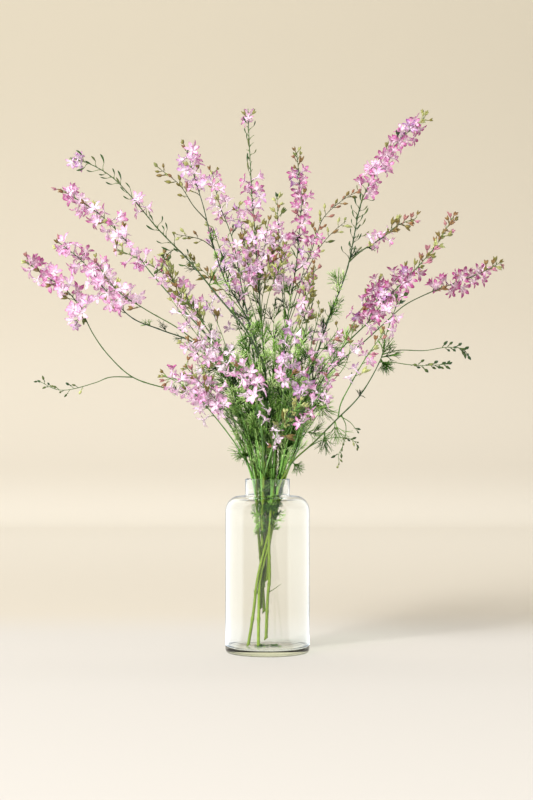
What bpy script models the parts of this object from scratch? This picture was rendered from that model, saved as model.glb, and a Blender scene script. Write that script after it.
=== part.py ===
"""A bunch of cut field larkspur in a clear glass bottle vase.

Metres, +Z up, the origin at the centre of the vase's flat underside. +X is the bunch's right side, and
-Y its front. The vase is turned from one profile. Each stem, branch and twig is a tapered tube along a
smooth route, and each raceme (flower spike) is one lumpy spindle around the end of its stem's route.
"""

import math

import bmesh
import bpy
import numpy as np

# Clearance between pieces that touch, and between a shoot's foot and the stem that it grows from.
GAP = 0.0003
AXIL_GAP = 0.0006

# The vase.
VASE_SIDES = 48
VASE_HEIGHT = 0.260
BODY_RADIUS = 0.063
WALL = 0.003
FLOOR_THICKNESS = 0.008
HEEL_RADIUS = 0.006
INNER_CORNER = 0.003
SHOULDER_HEIGHT = 0.234
SHOULDER_WIDTH = 0.020
SHOULDER_DROP = 0.023
NECK_RADIUS = 0.0333
NECK_FILLET = 0.003
LIP_RADIUS = 0.0012
ARC_STEPS = 4

# The plants: tube sides, the spacing of the rings along a route, and the usual radii.
STEM_SIDES = 6
TWIG_SIDES = 6
RACEME_SIDES = 8
STEM_SPACING = 0.022
TWIG_SPACING = 0.016
RACEME_SPACING = 0.012
FOOT_RADIUS = 0.0021
STEM_TOP_RADIUS = 0.0010
BRANCH_RADIUS = 0.0011
BRANCH_TOP_RADIUS = 0.0007
TWIG_RADIUS = 0.0008
TIP_RADIUS = 0.0006
BUD_RADIUS = 0.0035
AXIL_REACH = 0.004
AXIL_RISE = 0.0024
CURVE_STEPS = 24
LEAF_SIDES = 6
LEAF_SPACING = 0.005
LEAF_FLATNESS = 0.25

# Colours: linear red, green, blue.
STEM_GREEN = (0.060, 0.145, 0.030)
BRANCH_GREEN = (0.085, 0.190, 0.045)
BUD_GREEN = (0.230, 0.260, 0.075)
PETAL_PINK = (0.560, 0.235, 0.420)
LEAF_GREEN = (0.075, 0.240, 0.050)
GLASS_TINT = (0.900, 0.950, 0.920)

# Main stems: the route from the cut foot in the vase, through the waist where all the stems cross and
# out of the neck, to the tip; the height at which the flowers begin; and how wide they stand.
STEMS = {
    "far_left": {
        "route": (
            (-0.005, 0.000, 0.060), (-0.008, 0.001, 0.110), (-0.012, -0.001, 0.160),
            (-0.0155, -0.0035, 0.205), (-0.017, -0.006, 0.258), (-0.021, -0.007, 0.280),
            (-0.037, -0.007, 0.348), (-0.047, -0.004, 0.388), (-0.070, 0.000, 0.431),
            (-0.110, 0.006, 0.464), (-0.161, 0.010, 0.484), (-0.204, 0.014, 0.502),
            (-0.241, 0.018, 0.540), (-0.280, 0.020, 0.588), (-0.316, 0.020, 0.617),
        ),
        "flowers_from": 0.506,
        "fullness": 0.015,
    },
    "left": {
        "route": (
            (-0.0105, 0.004, 0.064), (-0.0103, 0.0055, 0.100), (-0.0097, 0.0056, 0.130),
            (-0.0078, 0.0022, 0.160), (-0.010, 0.001, 0.205), (-0.011, 0.003, 0.258),
            (-0.016, 0.008, 0.290),
            (-0.026, 0.016, 0.340), (-0.042, 0.028, 0.394), (-0.069, 0.042, 0.447),
            (-0.103, 0.055, 0.489), (-0.143, 0.066, 0.533), (-0.181, 0.076, 0.577),
            (-0.210, 0.082, 0.615), (-0.257, 0.088, 0.665), (-0.319, 0.090, 0.706),
        ),
        "flowers_from": 0.618,
        "fullness": 0.016,
    },
    "arching": {
        "route": (
            (-0.0080, -0.0044, 0.160), (-0.0076, -0.007, 0.205), (-0.0055, -0.014, 0.258),
            (-0.004, -0.028, 0.317), (-0.002, -0.045, 0.377), (-0.005, -0.060, 0.427),
            (-0.018, -0.070, 0.455), (-0.033, -0.076, 0.481), (-0.069, -0.090, 0.523),
            (-0.111, -0.102, 0.574), (-0.156, -0.110, 0.620), (-0.198, -0.115, 0.670),
            (-0.222, -0.118, 0.694), (-0.250, -0.120, 0.711), (-0.282, -0.120, 0.722),
        ),
        "flowers_from": 0.622,
        "fullness": 0.008,
    },
    "tall_left": {
        "route": (
            (-0.004, 0.004, 0.105), (-0.0038, 0.0033, 0.130), (-0.003, 0.0015, 0.160),
            (-0.0015, -0.001, 0.205), (0.0005, -0.004, 0.258), (-0.002, -0.010, 0.348),
            (-0.011, -0.017, 0.422), (-0.023, -0.024, 0.482), (-0.045, -0.032, 0.525),
            (-0.063, -0.038, 0.555), (-0.082, -0.048, 0.612), (-0.095, -0.054, 0.664),
            (-0.106, -0.058, 0.699), (-0.118, -0.060, 0.745),
        ),
        "flowers_from": 0.674,
        "fullness": 0.015,
    },
    "tallest": {
        "route": (
            (-0.006, 0.009, 0.095), (-0.0044, 0.0075, 0.130), (-0.0028, 0.0065, 0.160),
            (0.0005, 0.0055, 0.205), (0.004, 0.004, 0.258), (-0.001, 0.005, 0.378),
            (-0.008, 0.005, 0.483), (-0.014, 0.004, 0.558), (-0.019, 0.000, 0.633),
            (-0.023, -0.005, 0.677), (-0.025, -0.010, 0.715), (-0.028, -0.016, 0.780),
            (-0.029, -0.020, 0.811),
        ),
        "flowers_from": 0.545,
        "fullness": 0.014,
    },
    "tall_right": {
        "route": (
            (-0.0022, -0.012, 0.021), (0.0005, -0.012, 0.085), (0.0032, -0.0115, 0.115),
            (0.0023, -0.010, 0.160), (0.0045, -0.0085, 0.205), (0.010, -0.005, 0.258),
            (0.019, 0.018, 0.378), (0.028, 0.036, 0.485), (0.038, 0.045, 0.547),
            (0.044, 0.050, 0.586), (0.051, 0.056, 0.664), (0.053, 0.058, 0.686),
            (0.050, 0.060, 0.710), (0.045, 0.060, 0.759),
        ),
        "flowers_from": 0.602,
        "fullness": 0.015,
    },
    "spike": {
        "route": (
            (0.000, -0.001, 0.108), (0.001, 0.0005, 0.130), (0.0024, 0.0032, 0.160),
            (0.011, 0.005, 0.205), (0.0205, 0.005, 0.258), (0.038, 0.012, 0.333),
            (0.056, 0.020, 0.393), (0.077, 0.026, 0.454), (0.095, 0.030, 0.508),
            (0.121, 0.036, 0.577), (0.142, 0.040, 0.677), (0.151, 0.040, 0.699),
            (0.179, 0.040, 0.745), (0.202, 0.040, 0.775), (0.239, 0.040, 0.808),
        ),
        "flowers_from": 0.690,
        "fullness": 0.014,
    },
    "right": {
        "route": (
            (-0.0136, -0.003, 0.0088), (-0.013, -0.004, 0.060), (-0.011, -0.004, 0.110),
            (0.0012, -0.0015, 0.160), (0.013, 0.0000, 0.210), (0.0255, -0.004, 0.258),
            (0.034, -0.009, 0.281), (0.056, -0.018, 0.341), (0.078, -0.028, 0.400),
            (0.108, -0.036, 0.451), (0.151, -0.044, 0.495), (0.173, -0.048, 0.524),
            (0.198, -0.052, 0.549), (0.231, -0.057, 0.584), (0.248, -0.059, 0.605),
            (0.271, -0.060, 0.643),
        ),
        "flowers_from": 0.515,
        "fullness": 0.013,
    },
    "low_right": {
        "route": (
            (-0.029, 0.000, 0.0090), (-0.021, -0.004, 0.060), (-0.015, -0.007, 0.110),
            (-0.003, -0.004, 0.160), (0.0095, -0.006, 0.210), (0.0205, -0.0130, 0.256),
            (0.036, -0.0205, 0.284), (0.069, -0.038, 0.315), (0.099, -0.058, 0.346),
            (0.135, -0.078, 0.384), (0.166, -0.094, 0.442), (0.170, -0.098, 0.467),
            (0.178, -0.100, 0.491), (0.190, -0.100, 0.524),
        ),
        "flowers_from": 0.462,
        "fullness": 0.013,
    },
    "back": {
        "route": (
            (-0.011, 0.011, 0.100), (-0.0092, 0.0095, 0.130), (-0.0075, 0.008, 0.160),
            (-0.006, 0.010, 0.205), (-0.0035, 0.013, 0.258), (-0.008, 0.030, 0.330),
            (-0.015, 0.050, 0.400), (-0.027, 0.068, 0.486), (-0.042, 0.085, 0.565),
            (-0.055, 0.098, 0.632), (-0.077, 0.106, 0.692), (-0.086, 0.110, 0.736),
        ),
        "flowers_from": 0.655,
        "fullness": 0.014,
    },
}

# Side branches with flowers: the stem or branch that each leaves and the height where it does, its
# route from there to the tip, how far along it the flowers begin, and how wide they stand.
BRANCHES = {
    "long_left": {
        "parent": "far_left",
        "leaves_at": 0.345,
        "route": (
            (-0.062, -0.012, 0.368), (-0.093, -0.020, 0.379), (-0.144, -0.032, 0.393),
            (-0.199, -0.042, 0.411), (-0.234, -0.050, 0.443), (-0.256, -0.055, 0.474),
            (-0.277, -0.058, 0.516), (-0.297, -0.060, 0.540), (-0.322, -0.060, 0.556),
            (-0.353, -0.060, 0.579),
        ),
        "flowers_after": 0.69,
        "fullness": 0.015,
    },
    "mid_left": {
        "parent": "far_left",
        "leaves_at": 0.392,
        "route": (
            (-0.063, -0.014, 0.416), (-0.100, -0.022, 0.458), (-0.133, -0.028, 0.484),
            (-0.180, -0.034, 0.511), (-0.223, -0.038, 0.540), (-0.254, -0.040, 0.582),
        ),
        "flowers_after": 0.66,
        "fullness": 0.013,
    },
    "low_left": {
        "parent": "far_left",
        "leaves_at": 0.274,
        "route": (
            (-0.036, -0.020, 0.292), (-0.046, -0.028, 0.310), (-0.077, -0.050, 0.352),
            (-0.112, -0.075, 0.391), (-0.150, -0.090, 0.412),
        ),
        "flowers_after": 0.52,
        "fullness": 0.014,
    },
    "inner_left": {
        "parent": "left",
        "leaves_at": 0.438,
        "route": (
            (-0.076, 0.028, 0.464), (-0.101, 0.015, 0.499), (-0.122, 0.000, 0.534),
            (-0.145, -0.012, 0.558), (-0.175, -0.020, 0.579), (-0.224, -0.025, 0.602),
        ),
        "flowers_after": 0.36,
        "fullness": 0.014,
    },
    "back_low_left": {
        "parent": "left",
        "leaves_at": 0.390,
        "route": ((-0.060, 0.066, 0.418), (-0.090, 0.110, 0.440), (-0.130, 0.150, 0.463)),
        "flowers_after": 0.45,
        "fullness": 0.013,
    },
    "front_left": {
        "parent": "arching",
        "leaves_at": 0.300,
        "route": (
            (-0.009, -0.046, 0.326), (-0.014, -0.080, 0.365), (-0.020, -0.108, 0.395),
            (-0.038, -0.130, 0.416), (-0.062, -0.145, 0.430),
        ),
        "flowers_after": 0.58,
        "fullness": 0.014,
    },
    "front_lilac": {
        "parent": "tallest",
        "leaves_at": 0.285,
        "route": (
            (0.012, -0.012, 0.312), (0.018, -0.042, 0.350), (0.025, -0.075, 0.400),
            (0.032, -0.100, 0.445), (0.037, -0.120, 0.487),
        ),
        "flowers_after": 0.58,
        "fullness": 0.014,
    },
    "back_centre": {
        "parent": "tall_right",
        "leaves_at": 0.440,
        "route": (
            (0.027, 0.066, 0.490), (0.022, 0.104, 0.565), (0.018, 0.130, 0.635), (0.015, 0.140, 0.702),
        ),
        "flowers_after": 0.50,
        "fullness": 0.013,
    },
    "side_right": {
        "parent": "spike",
        "leaves_at": 0.585,
        "route": (
            (0.140, 0.016, 0.602), (0.172, -0.020, 0.620), (0.194, -0.040, 0.636), (0.217, -0.055, 0.643),
        ),
        "flowers_after": 0.30,
        "fullness": 0.011,
    },
    "back_right": {
        "parent": "spike",
        "leaves_at": 0.400,
        "route": (
            (0.064, 0.062, 0.435), (0.070, 0.112, 0.475), (0.079, 0.152, 0.505), (0.084, 0.182, 0.528),
        ),
        "flowers_after": 0.50,
        "fullness": 0.013,
    },
    "far_right": {
        "parent": "right",
        "leaves_at": 0.405,
        "route": (
            (0.105, -0.006, 0.432), (0.150, 0.028, 0.470), (0.185, 0.054, 0.502), (0.211, 0.068, 0.525),
            (0.252, 0.078, 0.546), (0.299, 0.080, 0.564), (0.334, 0.080, 0.578), (0.360, 0.080, 0.592),
        ),
        "flowers_after": 0.48,
        "fullness": 0.013,
    },
    "front_right": {
        "parent": "low_right",
        "leaves_at": 0.280,
        "route": (
            (0.045, -0.044, 0.304), (0.052, -0.074, 0.334), (0.062, -0.106, 0.362),
            (0.076, -0.130, 0.386), (0.089, -0.146, 0.404),
        ),
        "flowers_after": 0.58,
        "fullness": 0.013,
    },
    "inner_right": {
        "parent": "low_right",
        "leaves_at": 0.350,
        "route": (
            (0.106, -0.082, 0.370), (0.119, -0.112, 0.398), (0.140, -0.132, 0.436), (0.166, -0.142, 0.472),
        ),
        "flowers_after": 0.38,
        "fullness": 0.012,
    },
    "back_lilac": {
        "parent": "back",
        "leaves_at": 0.525,
        "route": ((-0.052, 0.070, 0.560), (-0.070, 0.062, 0.602), (-0.084, 0.056, 0.645)),
        "flowers_after": 0.44,
        "fullness": 0.011,
    },
}

# Thin shoots that hold only buds and pods: where each leaves, and its route to the tip.
BUD_TWIGS = {
    "long_left": {
        "parent": "long_left",
        "leaves_at": 0.410,
        "route": (
            (-0.232, -0.058, 0.410), (-0.252, -0.063, 0.402), (-0.302, -0.075, 0.391),
            (-0.334, -0.080, 0.405),
        ),
    },
    "arching": {
        "parent": "arching",
        "leaves_at": 0.576,
        "route": ((-0.130, -0.112, 0.592), (-0.146, -0.119, 0.580), (-0.151, -0.122, 0.562)),
    },
    "tall_left_high": {
        "parent": "tall_left",
        "leaves_at": 0.640,
        "route": ((-0.108, -0.065, 0.660), (-0.128, -0.071, 0.690), (-0.158, -0.074, 0.714)),
    },
    "tall_right_high": {
        "parent": "tall_right",
        "leaves_at": 0.574,
        "route": (
            (0.060, 0.045, 0.590), (0.073, 0.043, 0.624), (0.085, 0.042, 0.656), (0.114, 0.040, 0.683),
            (0.138, 0.038, 0.697),
        ),
    },
    "tall_right_low": {
        "parent": "tall_right",
        "leaves_at": 0.548,
        "route": (
            (0.054, 0.056, 0.566), (0.079, 0.064, 0.612), (0.100, 0.066, 0.637), (0.121, 0.066, 0.655),
        ),
    },
    "low_right_high": {
        "parent": "low_right",
        "leaves_at": 0.441,
        "route": (
            (0.188, -0.091, 0.448), (0.228, -0.086, 0.448), (0.262, -0.082, 0.453), (0.284, -0.080, 0.450),
            (0.291, -0.080, 0.442),
        ),
    },
    "low_right_low": {
        "parent": "low_right",
        "leaves_at": 0.430,
        "route": (
            (0.180, -0.108, 0.430), (0.198, -0.113, 0.427), (0.222, -0.117, 0.425), (0.259, -0.120, 0.427),
        ),
    },
    "low_right_hanging": {
        "parent": "low_right",
        "leaves_at": 0.354,
        "route": (
            (0.114, -0.078, 0.338), (0.110, -0.085, 0.312), (0.103, -0.087, 0.297), (0.104, -0.087, 0.282),
        ),
    },
}

# Two of the larger fern-like leaves: the stem that each grows on, the height, and its route to the tip.
LEAVES = {
    "left": {
        "parent": "far_left",
        "leaves_at": 0.292,
        "route": ((-0.043, -0.008, 0.302), (-0.056, -0.010, 0.312)),
    },
    "right": {
        "parent": "low_right",
        "leaves_at": 0.408,
        "route": ((0.168, -0.088, 0.416), (0.190, -0.090, 0.423)),
    },
}

# The raceme's width along its length, from its foot to its tip, as shares of its fullness.
RACEME_SHAPE = (
    (0.0, 0.10), (0.08, 0.60), (0.20, 0.95), (0.45, 1.00), (0.75, 0.72), (0.93, 0.40), (1.0, 0.15),
)
RACEME_LUMP = 0.16
# The bud twig's width along its length, in metres.
TWIG_SHAPE = (
    (0.0, TWIG_RADIUS), (0.35, TWIG_RADIUS), (0.50, BUD_RADIUS), (0.85, BUD_RADIUS), (1.0, TIP_RADIUS),
)
# Half the leaf's width along its length, in metres: the stalk, and then the blade.
LEAF_SHAPE = ((0.0, TWIG_RADIUS), (0.30, TWIG_RADIUS), (0.65, 0.0085), (0.85, 0.0070), (1.0, 0.0012))


def clear_scene():
    for thing in list(bpy.data.objects):
        bpy.data.objects.remove(thing, do_unlink=True)


def material(name, colour, roughness, transmission=0.0):
    made = bpy.data.materials.new(name)
    made.use_nodes = True
    shader = made.node_tree.nodes["Principled BSDF"]
    shader.inputs["Base Color"].default_value = (*colour, 1.0)
    shader.inputs["Roughness"].default_value = roughness
    shader.inputs["Metallic"].default_value = 0.0
    shader.inputs["Transmission Weight"].default_value = transmission
    return made


def add_object(name, mesh, finish):
    made = bpy.data.objects.new(name, mesh)
    bpy.context.scene.collection.objects.link(made)
    mesh.materials.append(finish)
    return made


def arc(centre, radii, start, end, steps=ARC_STEPS):
    """Points of an elliptical arc, angles in degrees from the profile's outward direction."""
    angles = [math.radians(start + (end - start) * i / steps) for i in range(steps + 1)]
    return [(centre[0] + radii[0] * math.cos(a), centre[1] + radii[1] * math.sin(a)) for a in angles]


def vase_body_profile():
    """The floor and side wall as (radius, height): from the middle of the underside, up outside, down inside."""
    outside = [(0.0, 0.0)]
    outside += arc((BODY_RADIUS - HEEL_RADIUS, HEEL_RADIUS), (HEEL_RADIUS, HEEL_RADIUS), -90, 0)
    rim, inner_radius = SHOULDER_HEIGHT - SHOULDER_DROP, BODY_RADIUS - WALL
    corner = (inner_radius - INNER_CORNER, FLOOR_THICKNESS + INNER_CORNER)
    inside = arc(corner, (INNER_CORNER, INNER_CORNER), 0, -90, 2)
    return [*outside, (BODY_RADIUS, rim), (inner_radius, rim), *inside, (0.0, FLOOR_THICKNESS)]


def vase_neck_profile():
    """The shoulder and neck, a ring: from its lower edge up outside, over the lip and down inside."""
    bore = NECK_RADIUS - WALL
    corner = (BODY_RADIUS - SHOULDER_WIDTH, SHOULDER_HEIGHT - SHOULDER_DROP + GAP)
    drop = SHOULDER_DROP - GAP
    outside = arc(corner, (SHOULDER_WIDTH, drop), 0, 90)
    foot = (NECK_RADIUS + NECK_FILLET, SHOULDER_HEIGHT + NECK_FILLET)
    outside += arc(foot, (NECK_FILLET, NECK_FILLET), 270, 180, 2)
    lip = (NECK_RADIUS - LIP_RADIUS, VASE_HEIGHT - LIP_RADIUS)
    outside += arc(lip, (LIP_RADIUS, LIP_RADIUS), 0, 90, 2)
    inner_lip = (bore + LIP_RADIUS, VASE_HEIGHT - LIP_RADIUS)
    inside = arc(inner_lip, (LIP_RADIUS, LIP_RADIUS), 90, 180, 2)
    inside += [(bore, SHOULDER_HEIGHT - WALL)]
    inside += arc(corner, (SHOULDER_WIDTH - WALL, drop - WALL), 90, 0)
    return outside + inside


def build_turned(name, profile, finish):
    """A profile turned about the vase's axis. One that doesn't start on the axis is closed as a ring."""
    shape = bmesh.new()
    points = [shape.verts.new((radius, 0.0, height)) for radius, height in profile]
    edges = [shape.edges.new(pair) for pair in zip(points, points[1:])]
    if profile[0][0] > 0:
        edges.append(shape.edges.new((points[-1], points[0])))
    bmesh.ops.spin(
        shape, geom=points + edges, cent=(0, 0, 0), axis=(0, 0, 1), angle=2 * math.pi, steps=VASE_SIDES
    )
    bmesh.ops.remove_doubles(shape, verts=shape.verts, dist=1e-6)
    bmesh.ops.recalc_face_normals(shape, faces=shape.faces)
    mesh = bpy.data.meshes.new(name)
    shape.to_mesh(mesh)
    shape.free()
    mesh.shade_smooth()
    mesh.set_sharp_from_angle(angle=math.radians(35))
    return add_object(name, mesh, finish)


def build_vase():
    """The vase is one piece of glass. It is cut under the shoulder, so that each part's collision stays open."""
    finish = material("clear_glass", GLASS_TINT, 0.03, 1.0)
    build_turned("vase_body", vase_body_profile(), finish)
    build_turned("vase_neck", vase_neck_profile(), finish)


class Route:
    """A smooth curve through a route's points, read by distance along it.

    It is a centripetal Catmull-Rom curve, which doesn't loop where a short span meets a long one.
    """

    def __init__(self, points, radius_shape):
        given = np.array(points)
        ends = (2 * given[0] - given[1], 2 * given[-1] - given[-2])
        chain = np.vstack([ends[0], given, ends[1]])
        steps = np.diff(chain, axis=0)
        spans = np.sqrt(np.linalg.norm(steps, axis=1, keepdims=True))
        slopes = steps / spans
        speeds = slopes[:-1] + slopes[1:] - (chain[2:] - chain[:-2]) / (spans[:-1] + spans[1:])
        leaving, arriving = speeds[:-1] * spans[1:-1], speeds[1:] * spans[1:-1]
        t = np.linspace(0, 1, CURVE_STEPS, endpoint=False)[:, None]
        pieces = []
        for a, b, out, into in zip(given, given[1:], leaving, arriving):
            bend, twist = 3 * (b - a) - 2 * out - into, 2 * (a - b) + out + into
            pieces.append(a + out * t + bend * t**2 + twist * t**3)
        self.dense = np.vstack([*pieces, given[-1:]])
        steps = np.linalg.norm(np.diff(self.dense, axis=0), axis=1)
        self.along = np.concatenate([[0.0], np.cumsum(steps)])
        self.length = self.along[-1]
        self.radius_shape = np.array(radius_shape)

    def at(self, distance):
        return np.array([np.interp(distance, self.along, self.dense[:, k]) for k in range(3)]).T

    def heading(self, distance):
        reach = 0.0015
        ahead = self.at(np.minimum(distance + reach, self.length))
        behind = self.at(np.maximum(distance - reach, 0.0))
        way = ahead - behind
        return way / np.linalg.norm(way, axis=-1, keepdims=True)

    def radius(self, distance):
        return np.interp(distance / self.length, self.radius_shape[:, 0], self.radius_shape[:, 1])

    def distance_at_height(self, height):
        return self.along[np.argmax(self.dense[:, 2] >= height)]


def ring_frames(headings):
    """Two directions across the route at each ring, carried along it without twist."""
    across = np.cross(headings[0], (0.0, 1.0, 0.0))
    sides = []
    for way in headings:
        across = across - way * across.dot(way)
        across = across / np.linalg.norm(across)
        sides.append((across, np.cross(way, across)))
    return np.array(sides)


def swept_mesh(name, route, start, end, sides, spacing, radius_of):
    """A closed skin of rings along part of a route. radius_of(distance, ring, angle) sets its width."""
    count = max(3, round((end - start) / spacing) + 1)
    distances = np.linspace(start, end, count)
    centres, frames = route.at(distances), ring_frames(route.heading(distances))
    angles = np.arange(sides) * 2 * math.pi / sides
    verts = []
    for i, (centre, (u, v)) in enumerate(zip(centres, frames)):
        for j, angle in enumerate(angles):
            width = radius_of(distances[i], i, j)
            verts.append(centre + width * (u * math.cos(angle) + v * math.sin(angle)))
    faces = [tuple(reversed(range(sides)))]
    for i in range(count - 1):
        for j in range(sides):
            a, b = i * sides + j, i * sides + (j + 1) % sides
            faces.append((a, b, b + sides, a + sides))
    faces.append(tuple((count - 1) * sides + j for j in range(sides)))
    mesh = bpy.data.meshes.new(name)
    mesh.from_pydata(verts, [], faces)
    mesh.shade_smooth()
    mesh.set_sharp_from_angle(angle=math.radians(60))
    return mesh


def build_tube(name, route, start, end, sides, spacing, finish):
    mesh = swept_mesh(name, route, start, end, sides, spacing, lambda s, ring, side: route.radius(s))
    return add_object(name, mesh, finish)


def build_raceme(name, route, start, fullness, finish):
    """The space that a raceme's flowers fill: a spindle, with a lump where each flower stands."""
    first, shape = start + GAP, np.array(RACEME_SHAPE)

    def width(distance, ring, side):
        share = (distance - first) / (route.length - first)
        lump = RACEME_LUMP * (1 if (ring + side) % 2 else -1)
        return fullness * np.interp(share, shape[:, 0], shape[:, 1]) * (1 + lump * min(1.0, 6 * share))

    mesh = swept_mesh(name, route, first, route.length, RACEME_SIDES, RACEME_SPACING, width)
    return add_object(name, mesh, finish)


def side_shoot_route(parent, leaves_at, points, radius_shape):
    """The route of a shoot that starts just off its parent's skin, square to it, and bends to its way."""
    start = parent.distance_at_height(leaves_at)
    centre, way = parent.at(start), parent.heading(start)
    out = np.array(points[0]) - centre
    out = out - way * out.dot(way)
    out = out / np.linalg.norm(out)
    skin = centre + out * (parent.radius(start) + AXIL_GAP)
    elbow = skin + out * AXIL_REACH + way * AXIL_RISE
    return Route([skin, elbow, *points], radius_shape)


def build_leaf(name, route, finish):
    """The space that a finely cut leaf fills: a flat blade on a stalk, its broad face to the front."""
    broad = (0, LEAF_SIDES // 2)

    def width(distance, ring, side):
        return route.radius(distance) * (1.0 if side in broad else LEAF_FLATNESS)

    mesh = swept_mesh(name, route, 0.0, route.length, LEAF_SIDES, LEAF_SPACING, width)
    return add_object(name, mesh, finish)


def build_plants():
    stem_finish = material("stem_green", STEM_GREEN, 0.5)
    branch_finish = material("branch_green", BRANCH_GREEN, 0.5)
    petal_finish = material("petal_pink", PETAL_PINK, 0.6)
    bud_finish = material("bud_green", BUD_GREEN, 0.55)
    leaf_finish = material("leaf_green", LEAF_GREEN, 0.6)
    routes = {}
    for name, stem in STEMS.items():
        route = Route(stem["route"], ((0.0, FOOT_RADIUS), (0.35, 0.0018), (1.0, STEM_TOP_RADIUS)))
        flowers = route.distance_at_height(stem["flowers_from"])
        build_tube("stem_" + name, route, 0.0, flowers, STEM_SIDES, STEM_SPACING, stem_finish)
        build_raceme("raceme_" + name, route, flowers, stem["fullness"], petal_finish)
        routes[name] = route
    for name, branch in BRANCHES.items():
        taper = ((0.0, BRANCH_RADIUS), (1.0, BRANCH_TOP_RADIUS))
        route = side_shoot_route(routes[branch["parent"]], branch["leaves_at"], branch["route"], taper)
        flowers = route.length * branch["flowers_after"]
        build_tube("branch_" + name, route, 0.0, flowers, TWIG_SIDES, TWIG_SPACING, branch_finish)
        build_raceme("raceme_" + name, route, flowers, branch["fullness"], petal_finish)
        routes[name] = route
    for name, twig in BUD_TWIGS.items():
        route = side_shoot_route(routes[twig["parent"]], twig["leaves_at"], twig["route"], TWIG_SHAPE)
        build_tube("bud_twig_" + name, route, 0.0, route.length, TWIG_SIDES, TWIG_SPACING, bud_finish)
    for name, leaf in LEAVES.items():
        route = side_shoot_route(routes[leaf["parent"]], leaf["leaves_at"], leaf["route"], LEAF_SHAPE)
        build_leaf("leaf_" + name, route, leaf_finish)


clear_scene()
build_vase()
build_plants()
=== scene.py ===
"""Looks for a bunch of cut field larkspur in a clear glass bottle vase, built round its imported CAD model.

Metres, +Z up, the origin at the centre of the vase's flat underside, +X the bunch's right, -Y its front.
Each cut stem is one plant. Its stalks, florets, buds, pods and thread-like leaves are pieces of their own.
"""

import math
from types import SimpleNamespace

import bpy
import numpy as np
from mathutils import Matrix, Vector


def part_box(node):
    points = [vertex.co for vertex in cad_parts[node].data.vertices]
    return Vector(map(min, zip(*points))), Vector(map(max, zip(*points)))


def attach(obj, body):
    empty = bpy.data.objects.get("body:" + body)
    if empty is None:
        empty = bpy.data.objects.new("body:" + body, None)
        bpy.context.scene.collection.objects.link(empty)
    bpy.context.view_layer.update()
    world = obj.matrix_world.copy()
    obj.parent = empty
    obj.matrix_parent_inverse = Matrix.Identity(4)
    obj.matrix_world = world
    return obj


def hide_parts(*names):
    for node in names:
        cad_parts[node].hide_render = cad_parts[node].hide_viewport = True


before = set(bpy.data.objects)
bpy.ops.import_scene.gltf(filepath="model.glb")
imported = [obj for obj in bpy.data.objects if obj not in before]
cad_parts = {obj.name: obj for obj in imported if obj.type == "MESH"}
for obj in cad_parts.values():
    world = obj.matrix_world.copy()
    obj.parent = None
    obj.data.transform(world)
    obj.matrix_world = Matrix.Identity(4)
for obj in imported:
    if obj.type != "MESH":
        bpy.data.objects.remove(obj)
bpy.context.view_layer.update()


# The vase: a blown bottle of clear, faintly green glass, 3 mm thick on an 8 mm floor, with a rounded heel
# and shoulder and a short neck with a fire-polished lip. It is one closed wall, turned about its axis.

vase_body_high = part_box("vase_body")[1]
vase_neck_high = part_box("vase_neck")[1]
BODY_RADIUS = vase_body_high.x
VASE_HEIGHT = vase_neck_high.z
SHOULDER_FOOT = vase_body_high.z
SHOULDER_HEIGHT = 0.234
NECK_RADIUS = 0.0333
WALL = 0.003
FLOOR_THICKNESS = 0.008
UNDERSIDE_HOLLOW = ((0.0, 0.0012), (0.020, 0.0008), (0.040, 0.0003))
FLOOR_CROWN = ((0.030, FLOOR_THICKNESS + 0.0003), (0.0, FLOOR_THICKNESS + 0.0006))
STRAIGHT_FROM, STRAIGHT_TO = 0.03, SHOULDER_FOOT - 0.01
HEEL_RADIUS = 0.0045
INNER_CORNER = 0.006
SHOULDER_WIDTH = 0.020
NECK_FILLET = 0.003
LIP_RADIUS = 0.0014
ARC_STEPS = 10
VASE_SIDES = 128
GLASS_TINT = (0.985, 0.996, 0.990, 1.0)
GLASS_DEPTH_TINT = (0.66, 0.85, 0.44, 1.0)
GLASS_DEPTH_DENSITY = 3.5
GLASS_SHADOW_TINT = (0.99, 1.0, 0.99, 1.0)
WAVE_SCALE, WAVE_RELIEF, WAVE_HEIGHT = 14.0, 0.06, 0.004
SMEAR_SCALE, SMEAR_STRETCH, MOST_SMEAR = 90.0, (1.0, 1.0, 0.14), 0.012


def put(tree, kind, feeds=None, **settings):
    """Adds a node to a tree. feeds maps its inputs to plain values or to other nodes' outputs."""
    made = tree.nodes.new("ShaderNode" + kind)
    for name, value in settings.items():
        setattr(made, name, value)
    for name, value in (feeds or {}).items():
        if isinstance(value, bpy.types.NodeSocket):
            tree.links.new(value, made.inputs[name])
        else:
            made.inputs[name].default_value = value
    return made


def between(tree, value, start, end, low=0.0, high=1.0, **settings):
    """A value's place between start and end, as a number from low to high."""
    feeds = {"Value": value, 1: start, 2: end, 3: low, 4: high}
    return put(tree, "MapRange", feeds, **settings).outputs["Result"]


def object_place(tree):
    """Where a point of a piece is, in metres."""
    return put(tree, "TexCoord").outputs["Object"]


def new_finish(name, **sockets):
    """A new material with these plain values on its Principled shader; its tree, shader and output."""
    made = bpy.data.materials.new(name)
    made.use_nodes = True
    tree = made.node_tree
    shader = tree.nodes["Principled BSDF"]
    for socket, value in sockets.items():
        shader.inputs[socket.replace("_", " ")].default_value = value
    return made, tree, shader, tree.nodes["Material Output"]


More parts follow.
